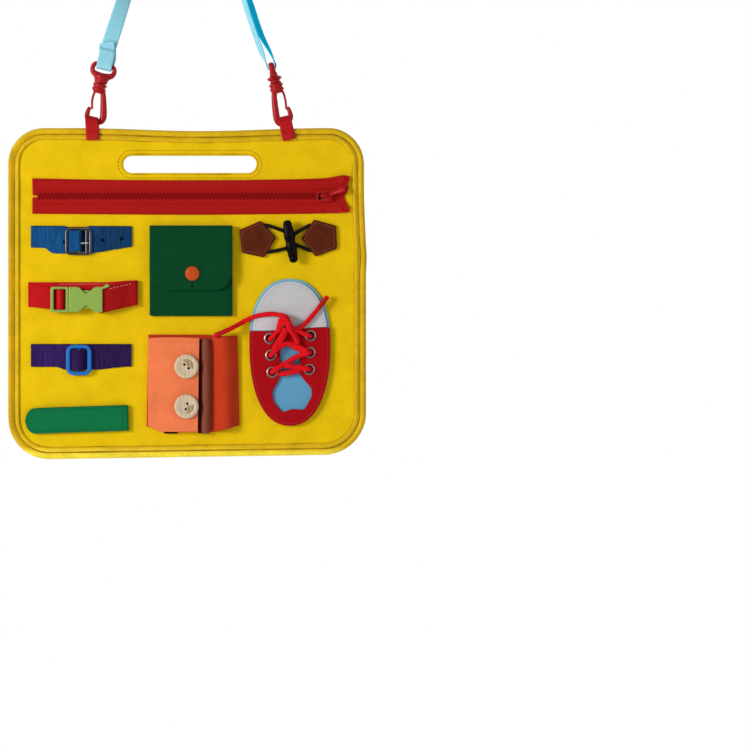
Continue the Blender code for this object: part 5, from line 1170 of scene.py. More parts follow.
def setTeeth(n, given, points):  # every second tooth is turned over
    odd = n.wire("GeometryNodeInputIndex").maths("MODULO", 2.0)
    swing = (odd * -2.0 + 1.0) * given["Lean"]
    return {
        "Instance": n.wire("GeometryNodeObjectInfo", "Geometry", Object=given["Tooth"]),
        "Rotation": n.wire(
            "FunctionNodeEulerToRotation", Euler=n.wire("ShaderNodeCombineXYZ", Y=odd * math.pi + swing)
        ),
    }


s = zipSizes
tooth = standing("zipTooth", reworked(bpy.data.meshes.new("zipTooth"), shapeTooth))
teethLine = [at(x, s["depth"], s["z"]) for x in spaced(
    s["teethLeft"] + s["teethEnd"], s["teethRight"] - s["teethEnd"], 40
)]
teethTree = alongLines("zipTeeth", (("Lean", "Float", 0.3), ("Tooth", "Object", None)), setTeeth, False)
teeth = laidAlong("zipTeeth", [teethLine], teethTree, {
    "Pitch": s["pitch"] * 0.001, "Lean": s["lean"], "Tooth": tooth, "Finish": looks["zipPlastic"],
})
bpy.data.objects.remove(tooth)
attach(teeth, "board")
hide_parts("zipper_teeth")
beadStations = [(at(x, 1.75, s["z"]), upward) for x in spaced(s["teethLeft"], s["teethRight"], 40)]
dress(tape("zipBead", beadStations, 5.0, 0.9, selvedge=1.0), "zipBand", "red_plastic", "zipper_teeth")
zipRows = []
for off, reach in ((-13.9, 128.4), (-6.2, 112.0), (6.2, 112.0), (13.6, 128.4)):
    z = s["z"] + off
    zipRows.append([
        at(x, 1.22 + 0.14 * wander(x / 16, z / 16, 4.0) + tapeLift(x, z), z - 0.3)
        for x in spaced(-127.6, reach, 60)
    ])
stitches("zipSeams", zipRows, "redThread", "red_webbing", 2.6, 1.9, 0.42)

sliderSizes = {
    "mouthX": 111.5, "mouthZ": 80.6, "mouthWide": 2.2, "mouthTall": 3.7, "mouthDepth": 4.5, "rimDepth": 4.75,
    "rim": 0.62, "eyeX": 115.0, "eyeZ": 80.9, "pullShare": 0.86, "ridge": 0.55,
}
s = sliderSizes
zipSlider = moulded("zipSlider", "zipper_slider", 0.17, 5, 0.3)
dress(zipSlider, "sliderPlastic", "red_plastic", "zipper_slider", body="slider")
mouth = [circlePoint(1.0, 15 * k) for k in range(24)]
mouth = [(s["mouthX"] + s["mouthWide"] * x, s["mouthZ"] + s["mouthTall"] * z) for x, z in mouth]
# dark plate painted as the shade inside the slider's mouth, within the rim
dress(plate("sliderMouth", [mouth], s["mouthDepth"], 0.3, 0.1), "darkHole", "red_plastic", body="slider")
rim = roundTube("sliderRim", [at(x, s["rimDepth"], z) for x, z in mouth], s["rim"], True, 10)
dress(rim, "sliderPlastic", "red_plastic", body="slider")
zipPull = moulded("zipPull", "zipper_pull", 0.15, 4, 0.35)
pullEye = at(s["eyeX"], 0, s["eyeZ"])
for v in zipPull.data.vertices:
    v.co.x = pullEye.x + (v.co.x - pullEye.x) * s["pullShare"]
    v.co.z = pullEye.z + (v.co.z - pullEye.z) * s["pullShare"]
dress(zipPull, "sliderPlastic", "red_plastic", "zipper_pull", body="pull")
# a raised ridge along the pull, its lighter colour a painted highlight
ridge = [at(122.6 + 8.4 * t, 6.62, 83.5 + 3.0 * t) for t in spaced(0, 1, 12)]
dress(roundTube("pullRidge", ridge, s["ridge"], segments=10), "pullEdge", "red_plastic", body="pull")
print("zipper made")

# ---- belt and buckle
beltSizes = {
    "left": -130.8, "right": -46.1, "thick": 1.2, "top": 56.2, "low": 38.0, "archLeft": -99.7,
    "archRight": -88.0,
    "archRise": 4.2, "archTop": 52.4, "archLow": 34.4, "pinchLeft": -101.6, "pinchRight": -83.2, "hole": 1.75,
    "holes": ((-102.4, 42.7), (-70.7, 44.4), (-54.5, 45.5)),
}


def beltPinch(x):  # how far x is inside the buckle, where the belt is narrower
    return ease((x - beltSizes["pinchLeft"]) / 1.4) * ease((beltSizes["pinchRight"] - x) / 1.4)


def beltTop(x):
    s, pinch = beltSizes, beltPinch(x)
    top = s["top"] - 0.004 * (x + 131) + 0.16 * wander(x / 7, 0.0, 2.0)
    return top * (1 - pinch) + s["archTop"] * pinch


def beltLow(x):
    s, pinch = beltSizes, beltPinch(x)
    low = s["low"] - 4.9 * ease((x + 120.5) / 9.0) + 5.8 * max(0.0, (x + 80) / 34)
    return (low + 0.22 * wander(x / 6, 4.0, 2.0)) * (1 - pinch) + s["archLow"] * pinch


def beltDepth(x):
    s = beltSizes
    return 0.9 + s["archRise"] * ease((x - s["archLeft"]) / 2.0) * ease((s["archRight"] - x) / 2.0)


# lower edge of the dark sheet painted as shade under the belt
def beltShadeSheetLow(x):
    return max(38.6, beltLow(-118)) - 4.0 * ease((x + 116) / 6) + 4.6 * ease((x + 80) / 34)


s = beltSizes
belt = ribbon("beltTape", spaced(s["left"], s["right"], 191), beltTop, beltLow, beltDepth, s["thick"], 12)
ripple(belt, 0.3, 1.5, 16.0, 1.0)
holeProfile = [(0, 6), (s["hole"], 6), (s["hole"], -2), (0, -2)]
beltCutters = [turned("beltHole", holeProfile, at(x, 0, z), steps=24) for x, z in s["holes"]]
beltCutters.append(plate("beltSlot", [roundedOutline(6.0, 2.6, 1.2, 1.2, -84.6, 41.73)], -1.0, 5.4, 0.1))
dress(cutAway(belt, beltCutters), "blueTape", "blue_webbing", "blue_belt")
# dark sheets painted as shade: one in the gap right of the belt's arch inside the buckle, one under the belt so
# its holes and the notches by the buckle show dark
for dark in (
    ribbon("beltGap", spaced(-88.1, -84.2, 8), lambda x: 52.2, lambda x: 34.6, lambda x: 1.66, 0.2, 4),
    ribbon("beltLining", spaced(-129.6, -47.4, 60), lambda x: 55.5, beltShadeSheetLow, lambda x: 0.14, 0.22, 4),
):
    dress(dark, "darkBlueTape", "blue_webbing", "blue_belt")


def edgeLine(name, line, look, slotName, radius=0.45, body="board"):
    dress(roundTube(name, line, radius, segments=8), look, slotName, body=body)


def crossSeams(name, xs, depth, lowAt, topAt, look, slotName):
    rows = [[at(x, depth, z) for z in (lowAt(x) + 1.2, topAt(x) - 1.2)] for x in xs]
    stitches(name, rows, look, slotName, 2.2, 1.6, 0.45)


# dark lines painted as shade along the belt's top edge
for name, left, right in (("beltEdge", -130.4, -102.2), ("beltEdgeRight", -82.0, -46.6)):
    line = [at(x, 1.1, beltTop(x) - 0.2) for x in spaced(left, right, 30)]
    edgeLine(name, line, "darkBlueTape", "blue_webbing")
crossSeams("beltSeams", (-128.6, -126.6, -48.4, -50.4), 1.62, beltLow, beltTop, "blueThread", "blue_webbing")
buckle = moulded("beltBuckle", "belt_buckle", 0.17, 4, 0.3)
dress(fuller(buckle, 0.12), "darkSteel", "steel", "belt_buckle", body="buckle")
prong = moulded("bucklePin", "buckle_prong", 0.11, 2, 0.4)
dress(fuller(prong, 0.3), "steel", "steel", "buckle_prong", body="prong")
print("belt made")

# ---- red strap and its clip
redSizes = {
    "left": -133.0, "width": 20.8, "thick": 1.2, "foldX": -43.6, "foldRadius": 1.6, "foldReach": 1.9,
    "end": -75.0,
    "plugLeft": -110.8, "plugWidth": 19.2,
}


def redFoldDepth(x):
    return 4.1 + 2.6 * ease((-46 - x) / 17)


def redMiddle(x):
    return 0.2 - 5.1 * max(0.0, (-43.4 - x) / 22.0)


s = redSizes
redPlaces = [(x, 0.9, -1.3 + 1.5 * ease((x + 70) / 26)) for x in spaced(s["left"], -44.0, 50)]
for step in range(1, 12):
    depth, x = circlePoint(1.0, 180 * step / 12)
    redPlaces.append((s["foldX"] + s["foldReach"] * x, 2.5 - s["foldRadius"] * depth, 0.2))
redPlaces += [(x, redFoldDepth(x), redMiddle(x)) for x in spaced(-44.4, s["end"], 18)]
redTape = tape("redTape", [(at(*place), upward) for place in redPlaces], s["width"], s["thick"])
dress(ripple(redTape, 0.3, 6.0, 9.0, 3.0), "redTape", "red_webbing", "red_strap")
stitches("redSeams", [
    [at(x, 1.56, 7.2 + 0.01 * (x + 106)) for x in spaced(-106, -67.5, 20)],
    [at(x, redFoldDepth(x) + 0.68, redMiddle(x) + 8.2) for x in spaced(-63.5, -47.5, 12)],
], "paleThread", "red_webbing", 2.4, 1.5, 0.55)
for name, node, body, voxel, rounds in (
    ("clipBody", "clip_body", "board", 0.22, 6), ("clipPlug", "clip_plug", "plug", 0.22, 5),
    ("clipArmUpper", "clip_arm_upper", "arm_upper", 0.2, 4),
    ("clipArmLower", "clip_arm_lower", "arm_lower", 0.2, 4),
):
    piece = fuller(moulded(name, node, voxel, rounds, 0.3), 0.1)
    dress(piece, "greenPlastic", "green_plastic", node, body=body)
endStations = []
for x in spaced(s["left"], -114.0, 12)[:-1] + spaced(s["plugLeft"], -101.1, 40):
    away = min(1.0, max(0.0, (s["plugLeft"] - x) / 19.0))
    place = at(x, 2.4 + 4.84 * bump(x, -106.0, 3.9, 0.4), -5.5 + 3.4 * away)
    endStations.append((place, upward, 1.0 - 0.12 * (1.0 - away)))
redEnd = tape("redTapeEnd", endStations, s["plugWidth"], s["thick"])
dress(redEnd, "redTape", "red_webbing", "red_strap_end", body="plug")
print("clip made")

# ---- purple strap and its slide
purpleSizes = {"left": -130.8, "right": -46.5, "thick": 1.2, "turnWidth": 17.6}


def purpleTop(x):
    return -43.0 + 0.2 * wander(x / 7, 3.0, 2.0)


def purpleLow(x):
    return -61.9 - 2.3 * ease((x + 110) / 8) + 2.5 * ease((x + 78) / 30) + 0.25 * wander(x / 6, 3.0, 5.0)


s = purpleSizes
purpleTape = ribbon(
    "purpleTape", spaced(s["left"], s["right"], 181), purpleTop, purpleLow, lambda x: 0.9, s["thick"], 12,
)
dress(ripple(purpleTape, 0.3, 1.4, 18.0, 6.0), "purpleTape", "purple_webbing", "purple_strap")
edge = [at(x, 1.15, purpleTop(x) - 0.2) for x in spaced(-130.4, -46.8, 60)]
edgeLine("purpleEdge", edge, "darkPurpleTape", "purple_webbing", 0.5)
crossSeams(
    "purpleSeams", (-128.7, -126.7, -48.4, -50.4), 1.6, purpleLow, purpleTop, "purpleThread", "purple_webbing"
)
slideSizes = {
    "x": -90.5, "z": -56.2, "width": 21.4, "height": 25.7, "windowWide": 14.4, "windowTall": 19.4, "bar": 2.6,
}
s = slideSizes
frameLine, windowLine, barLine = (
    roundedOutline(wide, tall, corner, corner, s["x"], s["z"]) for wide, tall, corner in (
        (s["width"], s["height"], 6.2), (s["windowWide"], s["windowTall"], 2.6),
        (s["bar"], s["windowTall"] + 1.0, 0.4),
    )
)
slide = fused("strapSlide", [
    plate("slideFrame", [frameLine, windowLine], 1.8, 3.0, 1.0), plate("slideBar", [barLine], 1.8, 1.7, 0.4),
], 0.22, 4, 0.3)
dress(slide, "bluePlastic", "blue_plastic", "strap_slide", body="strap_slide")
turnStations = [
    (at(x, 2.4 + 3.4 * bump(x, -91.3, 5.4, 0.35), -56.3), upward) for x in spaced(-96.4, -86.2, 41)
]
purpleTurn = tape("purpleTurn", turnStations, purpleSizes["turnWidth"], purpleSizes["thick"])
dress(purpleTurn, "purpleTape", "purple_webbing", "purple_strap_turn", body="strap_slide")
print("slide made")

# ---- green strap with its hook and loop pads
greenSizes = {
    "pivotX": -50.95, "pivotZ": -104.665, "pivotDepth": 2.25, "tilt": 1.9, "length": 84.25, "width": 21.5,
    "thick": 1.5, "tip": 7.74, "layer": 1.2, "foldReach": 1.3, "narrowest": 0.12, "padWidth": 18.3,
}


def greenPlace(x, out, z):
    s = greenSizes
    tilt = math.radians(s["tilt"])
    return at(
        s["pivotX"] + x * math.cos(tilt) - z * math.sin(tilt), s["pivotDepth"] + out,
        s["pivotZ"] + x * math.sin(tilt) + z * math.cos(tilt),
    )


def greenStation(x, out, share=1.0):
    return (greenPlace(x, out, 0), (greenPlace(0, 0, 1) - greenPlace(0, 0, 0)).normalized(), share)


s = greenSizes
greenStations = []
for t in spaced(0.0, 1.0, 14):
    away = s["tip"] * (1 - math.cos(t * math.pi / 2))
    share = max(math.sin(math.acos(max(0.0, 1 - away / s["tip"]))), s["narrowest"])
    greenStations.append(greenStation(-s["length"] + away, s["layer"] + 0.5 * (1 - t), share))
greenStations += [greenStation(x, s["layer"]) for x in spaced(-s["length"] + 9.5, 0, 34)]
for step in range(1, 13):
    out, x = circlePoint(1.0, 180 * step / 12)
    greenStations.append(greenStation(s["foldReach"] * x, s["layer"] * out))
greenTape = tape("greenTape", greenStations, s["width"], s["thick"])
dress(greenTape, "greenTape", "green_webbing", "green_strap", body="green_flap")
# dark lines painted as shade: along the strap's top edge and down its fold
for name, line, radius in (
    ("greenSelvedge", [greenPlace(x, 1.45, 10.5) for x in spaced(-74.0, 0.8, 40)], 0.42),
    ("greenFold", [greenPlace(1.4, 0.6, d) for d in spaced(-10.3, 10.3, 20)], 0.55),
):
    edgeLine(name, line, "darkGreenTape", "green_webbing", radius, "green_flap")
greenSeams = [[greenPlace(x, 1.99, z) for x in spaced(-76.0, -1.0, 30)] for z in (-8.9, 8.9)]
greenSeams.append([greenPlace(-3.0, 1.99, d) for d in (-8.6, 8.6)])
stitches("greenSeams", greenSeams, "greenThread", "green_webbing", 2.6, 1.9, 0.45, body="green_flap")
for name, node, body, left, long, out, thick in (
    ("loopPad", "green_strap_loop_pad", "board", -79.6, 60.0, -1.45, 1.0),
    ("hookPad", "green_strap_hook_pad", "green_flap", -78.06, 46.0, -0.25, 0.8),
):
    shares = [(0, 0.9), (0.5, 0.97), (1.5, 1.0)]
    shares += [(x, 1.0) for x in spaced(5, long - 5, 12)] + [(long - x, share) for x, share in reversed(shares)]
    stations = [greenStation(left + x, out, share) for x, share in shares]
    pad = tape(name, stations, s["padWidth"], thick, selvedge=1.0)
    dress(pad, "greenPile", "green_webbing", node, body=body)
print("green strap made")


# ---- pocket with flap and snap
pocketSizes = {
    "x": 3.5, "width": 69.4, "bottom": -19.3, "backTop": 49.6, "frontTop": 31.0, "thick": 1.4, "flapEnd": 2.4,
    "hingeZ": 53.25, "hingeDepth": 3.65, "hingeRadius": 2.65, "frontDepth": 6.3, "corner": 15.0,
    "seamInset": 3.0,
    "snapX": 4.7, "snapZ": 16.3,
}


def pocketLoop(top):
    p = pocketSizes
    height = top - p["bottom"]
    return roundedOutline(p["width"], height, 0.8, 1.5, p["x"], p["bottom"] + height / 2, 3)


def pocketBulge(x, z):
    return 0.9 * ease((z - 4) / 26) * math.cos((x - 3.5) / 34.7 * math.pi / 2)


def flapPlace(z):
    return at(pocketSizes["x"], pocketSizes["frontDepth"] - 1.3 * ease((9.0 - z) / 7.0), z)


s = pocketSizes
pocketBack = plate("pocketBack", [pocketLoop(s["backTop"])], 0.3, s["thick"], 0.3, 8.0, 0.1, 25.0, 7.0)
dress(pocketBack, "pocketFelt", "green_felt", "pocket_back")
pocketFront = plate(
    "pocketFront", [pocketLoop(s["frontTop"])], 2.0, s["thick"], 0.3, 6.0, 0.12, 22.0, 8.0, pocketBulge
)
dress(pocketFront, "pocketFelt", "green_felt", "pocket_front")
flapStations = []
for t in spaced(0.0, 1.0, 18):
    away = s["corner"] * (1 - math.cos(t * math.pi / 2))
    reach = math.sqrt(max(0.0, s["corner"] ** 2 - (s["corner"] - away) ** 2))
    share = 1.0 + (reach - s["corner"]) / (s["width"] / 2)
    flapStations.append((flapPlace(s["flapEnd"] + away), -sideways, share))
for z in spaced(s["flapEnd"] + s["corner"] + 2.5, s["hingeZ"], 14):
    flapStations.append((flapPlace(z), -sideways))
for step in range(1, 13):
    depth, z = circlePoint(s["hingeRadius"], 180 * step / 12, s["hingeDepth"], s["hingeZ"])
    flapStations.append((at(s["x"], depth, z), -sideways))
pocketFlap = tape("pocketFlap", flapStations, s["width"], s["thick"], selvedge=1.0, count=22)
for v in pocketFlap.data.vertices:
    x, z = v.co.x * 1000, v.co.z * 1000 - boardPlace["middleZ"]
    if v.co.y < at(0, 4.4, 0).y:
        v.co.y -= 0.00045 * wander(x / 19, z / 19, 3.0) * ease((s["hingeZ"] - z) / 12)
dress(pocketFlap, "pocketFelt", "green_felt", "pocket_flap", body="pocket_flap")
seamHalf, seamLow = s["width"] / 2 - s["seamInset"], s["bottom"] + s["seamInset"]
pocketSeam = []
for x in (s["x"] - seamHalf, s["x"] + seamHalf):
    pocketSeam.append([at(x, 3.5, z) for z in spaced(seamLow, s["frontTop"] - 2, 20)])
pocketSeam.append([at(x, 3.5, seamLow) for x in spaced(s["x"] - seamHalf, s["x"] + seamHalf, 20)])
stitches("pocketSeam", pocketSeam, "greenThread", "green_felt", 2.8, 2.0, 0.42)
snapCapProfile = [
    (0, 8.96), (1.6, 8.93), (2.9, 8.82), (3.7, 8.66), (4.05, 8.42), (4.45, 8.44), (4.9, 8.42),
    (5.5, 8.12), (5.9, 7.78), (6.02, 7.52), (5.9, 7.32), (2.2, 7.3), (2.2, 5.3), (4.0, 5.3),
    (4.0, 4.7), (1.9, 4.7), (1.9, 5.555), (0, 5.555),
]
snapStudProfile = [
    (0, 5.25), (1.2, 5.22), (1.6, 5.05), (1.5, 4.7), (1.36, 4.42), (3.6, 4.4), (4.0, 4.2), (4.0, 3.75),
    (3.8, 3.7),
    (0, 3.7),
]
snapPlace = at(s["snapX"], 0, s["snapZ"])
snapCap = turned("snapCap", snapCapProfile, snapPlace, steps=40)
dress(snapCap, "orangePlastic", "orange_plastic", "snap_cap", body="pocket_flap")
# dark line painted as the shade of the slit below the snap
slit = [flapPlace(z) + Vector((1.0 - 0.03 * (9.6 - z), -0.72, 0)) * 0.001 for z in spaced(9.8, 2.6, 14)]
dress(roundTube("flapSlit", slit, 0.5, segments=8), "slitFelt", "green_felt", body="pocket_flap")
dress(turned("snapStud", snapStudProfile, snapPlace, steps=32), "orangePlastic", "orange_plastic", "snap_stud")
print("pocket made")

# ---- toggle closure
toggleSizes = {
    "patch": 16.4, "patchThick": 2.4, "patchSeam": 13.9, "cord": 1.5, "cordDepth": 1.75, "endDepth": 1.3,
    "x": 86.8,
    "z": 43.1, "depth": 6.64, "lean": 10.0, "flatness": 0.74,
}
patchPlaces = {"left": (58.3, 44.6, 5.6), "right": (112.1, 46.2, 182.5)}
cordRoutes = {
    "left": [
        (60.4, 57.4), (65.2, 57.2), (69.0, 56.2), (76.0, 53.8), (81.0, 51.9), (84.2, 50.0), (85.0, 47.2),
        (85.0, 42.0), (84.6, 39.2), (82.6, 37.4), (76.0, 35.8), (70.0, 34.6), (66.8, 34.2), (62.4, 34.2),
    ],
    "right": [
        (107.6, 58.4), (103.6, 57.2), (100.4, 55.6), (96.0, 52.9), (92.4, 50.8), (89.6, 48.9), (88.6, 46.6),
        (88.6, 43.6), (89.2, 41.6), (91.2, 40.4), (96.0, 38.6), (101.6, 36.2), (104.8, 35.0), (109.0, 33.8),
    ],
}
toggleHalf = [
    (0.0, 18.1), (1.3, 17.98), (2.5, 17.4), (3.3, 16.3), (3.7, 15.0), (3.75, 14.2), (3.55, 13.8), (3.6, 13.3),
    (3.95, 12.6), (4.2, 9.0), (4.6, 5.4), (4.7, 3.2), (4.2, 1.9), (4.1, 0.0),
]
s = toggleSizes
for end, (x, z, turn) in patchPlaces.items():
    outline, seam = (
        softLoop([circlePoint(radius, turn + 72 * i, x, z) for i in range(5)], soft)
        for radius, soft in ((s["patch"], 1.4), (s["patchSeam"], 1.0))
    )
    patch = plate(end + "Patch", [outline], 0.3, s["patchThick"], 0.9, 4.0, 0.12, 9.0, turn)
    dress(patch, "brownHide", "brown_leather", "leather_patch_" + end)
    stitches(end + "PatchSeam", [lineAt(seam, 2.72)], "tanThread", "brown_leather", 2.1, 1.6, 0.5)
for end, route in cordRoutes.items():
    path = smoothPath([
        at(x, s["cordDepth"] if 1 < i < len(route) - 2 else s["endDepth"], z) for i, (x, z) in enumerate(route)
    ])
    taper = [0.55 + 0.45 * ease((min(i, len(path) - 1 - i) - 2) / 5) for i in range(len(path))]
    cord = roundTube(end + "ToggleCord", path, s["cord"], taper=taper)
    dress(cord, "blackCord", "black_cord", "toggle_cord_" + end)
lean = math.radians(s["lean"])
toggleMiddle = at(s["x"], s["depth"], s["z"])
toggleProfile = toggleHalf + [(r, -h) for r, h in reversed(toggleHalf[:-1])]
toggle = turned("toggleBar", toggleProfile, toggleMiddle, (-math.sin(lean), 0, math.cos(lean)), 32)
for v in toggle.data.vertices:
    v.co.y = toggleMiddle.y + (v.co.y - toggleMiddle.y) * s["flatness"]
dress(toggle, "blackPlastic", "black_plastic", "toggle_bar", body="toggle")
print("toggle made")

# ---- pouch with its flap, strip and wooden buttons
pouchSizes = {
    "left": -33.6, "right": 43.0, "top": -34.8, "bottom": -116.5, "thick": 1.4, "swellX": 32.6,
    "swellHalf": 12.0,
    "rise": 5.6, "flapLeft": -33.0, "flapRight": 9.8, "flapTop": -37.8, "flapRise": 3.6, "flapThick": 1.5,
    "stripX": 15.9, "stripTop": -38.6, "stripLow": -117.6, "stripSteps": 50,
}


def pouchDepth(x):
    s = pouchSizes
    return 1.0 + s["rise"] * bump(x, s["swellX"], s["swellHalf"], 0.7)


def pouchTop(x):
    return pouchSizes["top"] - ease((x - 10) / 33)


def pouchLow(x):
    return pouchSizes["bottom"] + 5.4 * ease((x - 18) / 26)


def pouchFlapDepth(x):
    s = pouchSizes
    share = (x - s["flapLeft"]) / ((s["flapRight"] - s["flapLeft"]) * 0.7)
    return 2.75 + s["flapRise"] * math.sin(math.pi * 0.5 * min(1.0, share))


def pouchFlapTop(x):
    return pouchSizes["flapTop"] + 0.8 * bump(x, -12, 30)


def upright(name, xs, depthAt, topAt, lowAt, thick, seed, wave):  # felt that stands, its left corner drawn in
    whole = topAt(xs[0]) - lowAt(xs[0])
    stations = [(
        at(x, depthAt(x), (topAt(x) + lowAt(x)) / 2), upward, (topAt(x) - lowAt(x)) / whole
    ) for x in xs]
    piece = tape(name, stations, whole, thick, selvedge=1.0, count=26)
    for v in piece.data.vertices:
        v.co.y += wave * 0.001 * wander(v.co.x * 45, v.co.z * 45, seed)
        x, z = v.co.x * 1000, v.co.z * 1000 - boardPlace["middleZ"]
        v.co.x += 0.001 * (1.3 - 1.5 * (-36 - z) / 80) * ease((-6 - x) / 27)
        v.co.z += 0.001 * 4.6 * ease((-17 - x) / 16) ** 1.5 * ease((-80 - z) / 36)
    return piece


s = pouchSizes
pouchPanel = upright(
    "pouchPanel", spaced(s["left"], 20.0, 16) + spaced(21.0, s["right"], 34), pouchDepth, pouchTop, pouchLow,
    s["thick"], 2.0, 0.15,
)
dress(pouchPanel, "rustFelt", "rust_felt", "pouch_panel")
pouchFlap = upright(
    "pouchFlap", spaced(s["flapLeft"], s["flapRight"], 36), pouchFlapDepth, pouchFlapTop,
    lambda x: pouchLow(x) + 0.2, s["flapThick"], 5.0, 0.22,
)
dress(pouchFlap, "orangeFelt", "orange_felt", "pouch_flap", body="pouch_flap")
stripProfile = [(x, z ** 0.8) for x, z in (circlePoint(1.0, 180 * k / 16) for k in range(16))] + [(-1.0, 0.0)]
# the dark flange paints the shade between the flap and the roll
for name, aside, half, tall, look in (
    ("placketFlange", -1.5, 5.3, 2.4, "darkHide"), ("placketRoll", 0, 3.9, 4.8, "stripHide"),
):
    stripPath, stripGrow = [], []
    for i, z in enumerate(spaced(s["stripTop"], s["stripLow"], s["stripSteps"])):
        end = min(i, s["stripSteps"] - 1 - i)
        stripPath.append(at(s["stripX"] + aside + 0.35 * math.sin(z / 17), 2.0, z))
        stripGrow.append((
            half * (0.9 + 0.1 * ease(end / 3)), tall * (0.72 + 0.28 * ease(end / 4) + 0.03 * math.sin(i * 0.9)),
        ))
    strip = sweep(name, stripPath, [sideways] * s["stripSteps"], stripProfile, grow=stripGrow, sharp=50)
    dress(strip, look, "brown_leather", "placket_strip")
# dark line painted as the shade under the pouch flap's bottom edge
pouchShadeLine = [at(x, 1.6, -116.9 - 0.25 * bump(x, -13.5, 6.5)) for x in spaced(-19.5, -7.5, 16)]
dress(roundTube("pouchGap", pouchShadeLine, 0.8, segments=8), "darkHide", "rust_felt")
flapSeam = [at(x, pouchFlapDepth(x) + 0.8, pouchFlapTop(x) - 3.6) for x in spaced(-29, 8.0, 40)]
stitches("pouchFlapSeams", [flapSeam], "orangeThread", "orange_felt", 2.8, 2.0, 0.4, body="pouch_flap")

buttonSizes = {"x": -0.1, "depth": 7.4, "holeOff": 2.35}
buttonProfile = [
    (0, 1.75), (3.2, 1.8), (6.0, 1.98), (7.1, 2.35), (7.9, 2.56), (8.9, 2.55), (9.7, 2.2), (10.15, 1.6),
    (10.2, 1.0), (9.8, 0.4), (8.6, 0.02), (0, 0.0),
]
buttonPlaces = {  # height, turn of the two holes, and where the darker sector fans out
    "upper": (-61.5, -40.0, (-25.0, 118.0)), "lower": (-95.0, 75.0, (-95.0, 12.0)),
}
for end, (z, turn, fan) in buttonPlaces.items():
    s = buttonSizes
    ends = [circlePoint(s["holeOff"], turn + 180 * k, s["x"], z) for k in (1, 0)]

    def atHoles(name, profile, steps=20):
        return [turned(name, profile, at(holeX, s["depth"], holeZ), steps=steps) for holeX, holeZ in ends]

    button = turned(end + "Button", buttonProfile, at(s["x"], s["depth"], z), steps=64, sharp=50)
    button = cutAway(button, atHoles("buttonHole", [(0, 5), (1.55, 5), (1.05, 1.2), (1.05, -3), (0, -3)]))
    dress(button, "paleWood", "wood", "wood_button_" + end, body="pouch_flap")
    # dark discs painted as the shade deep in the button holes
    for dark in atHoles("holeDark", [(0, 0.9), (1.2, 0.9), (1.2, 0.4), (0, 0.4)], 16):
        dress(dark, "darkHole", "wood", body="pouch_flap")
    wedge = [(s["x"] + 0.4, z + 0.4)]
    wedge += [circlePoint(7.6 + 0.5 * math.sin(k * 1.7), a, s["x"], z) for k, a in enumerate(spaced(*fan, 18))]
    darkSector = plate(
        end + "ButtonStain", [wedge], 9.02, 0.3, 0.05, 1.0,
        bendAt=lambda x, y: 0.14 * ease((math.dist((x, y), (s["x"], z)) - 2.5) / 4.0),
    )
    darkSector = cutAway(darkSector, atHoles("stainHole", [(0, 5), (1.5, 5), (1.5, -3), (0, -3)]))
    dress(darkSector, "darkWood", "wood", body="pouch_flap")
print("pouch made")

# ---- shoe
shoeSizes = {
    "x": 86.3, "top": 11.8, "bottom": -111.3, "width": 68.0, "waistShare": 0.44, "rim": 2.2,
    "squareness": 0.88,
    "thick": 1.6, "seamInset": 2.2,
}
shoeOpening = [
    (95.0, -69.0), (104.4, -80.0), (104.6, -87.0), (98.2, -97.9), (88.8, -97.0), (79.8, -100.0),
    (72.6, -91.2), (71.6, -83.0), (77.8, -71.6), (78.6, -42.0), (94.6, -41.2),
]
eyeletPlaces = {
    "left_1": (69.22, -38.2), "left_2": (70.30, -52.3), "left_3": (71.38, -66.4),
    "right_1": (103.64, -35.85), "right_2": (103.10, -49.95), "right_3": (102.56, -64.05),
}
eyeletProfile = [
    (2.9, 4.35), (3.2, 4.62), (3.8, 4.8), (4.3, 4.62), (4.7, 4.3), (4.75, 4.05), (4.6, 3.9),
    (3.3, 3.9), (3.3, 2.6), (2.9, 2.6),
]


def shoeLine(inset=0.0):
    s = shoeSizes
    waist = s["top"] - (s["top"] - s["bottom"]) * s["waistShare"]
    points = []
    for i in range(120):
        across, up = (math.copysign(abs(c) ** s["squareness"], c) for c in circlePoint(1.0, 3.0 * i))
        reach = (s["top"] - waist if up >= 0 else waist - s["bottom"]) - inset
        points.append((s["x"] + (s["width"] / 2 - inset) * across, waist + reach * up))
    return points


def capEdge(x):
    return -31.4 + 3.0 * ease((x - 60) / 56) - 0.5 * math.sin((x - 52) / 68 * math.pi)


def fromGap(points):  # its widest gap comes to lie between its two ends
    start = max(range(len(points)), key=lambda i: math.dist(points[i], points[i - 1]))
    return points[start:] + points[:start]


def partOf(loop, above, shift=0.0):
    kept = fromGap([(x, z) for x, z in loop if (z > capEdge(x) + shift) == above])
    return kept + [(x, capEdge(x) + shift) for x in spaced(kept[-1][0], kept[0][0], 16)]


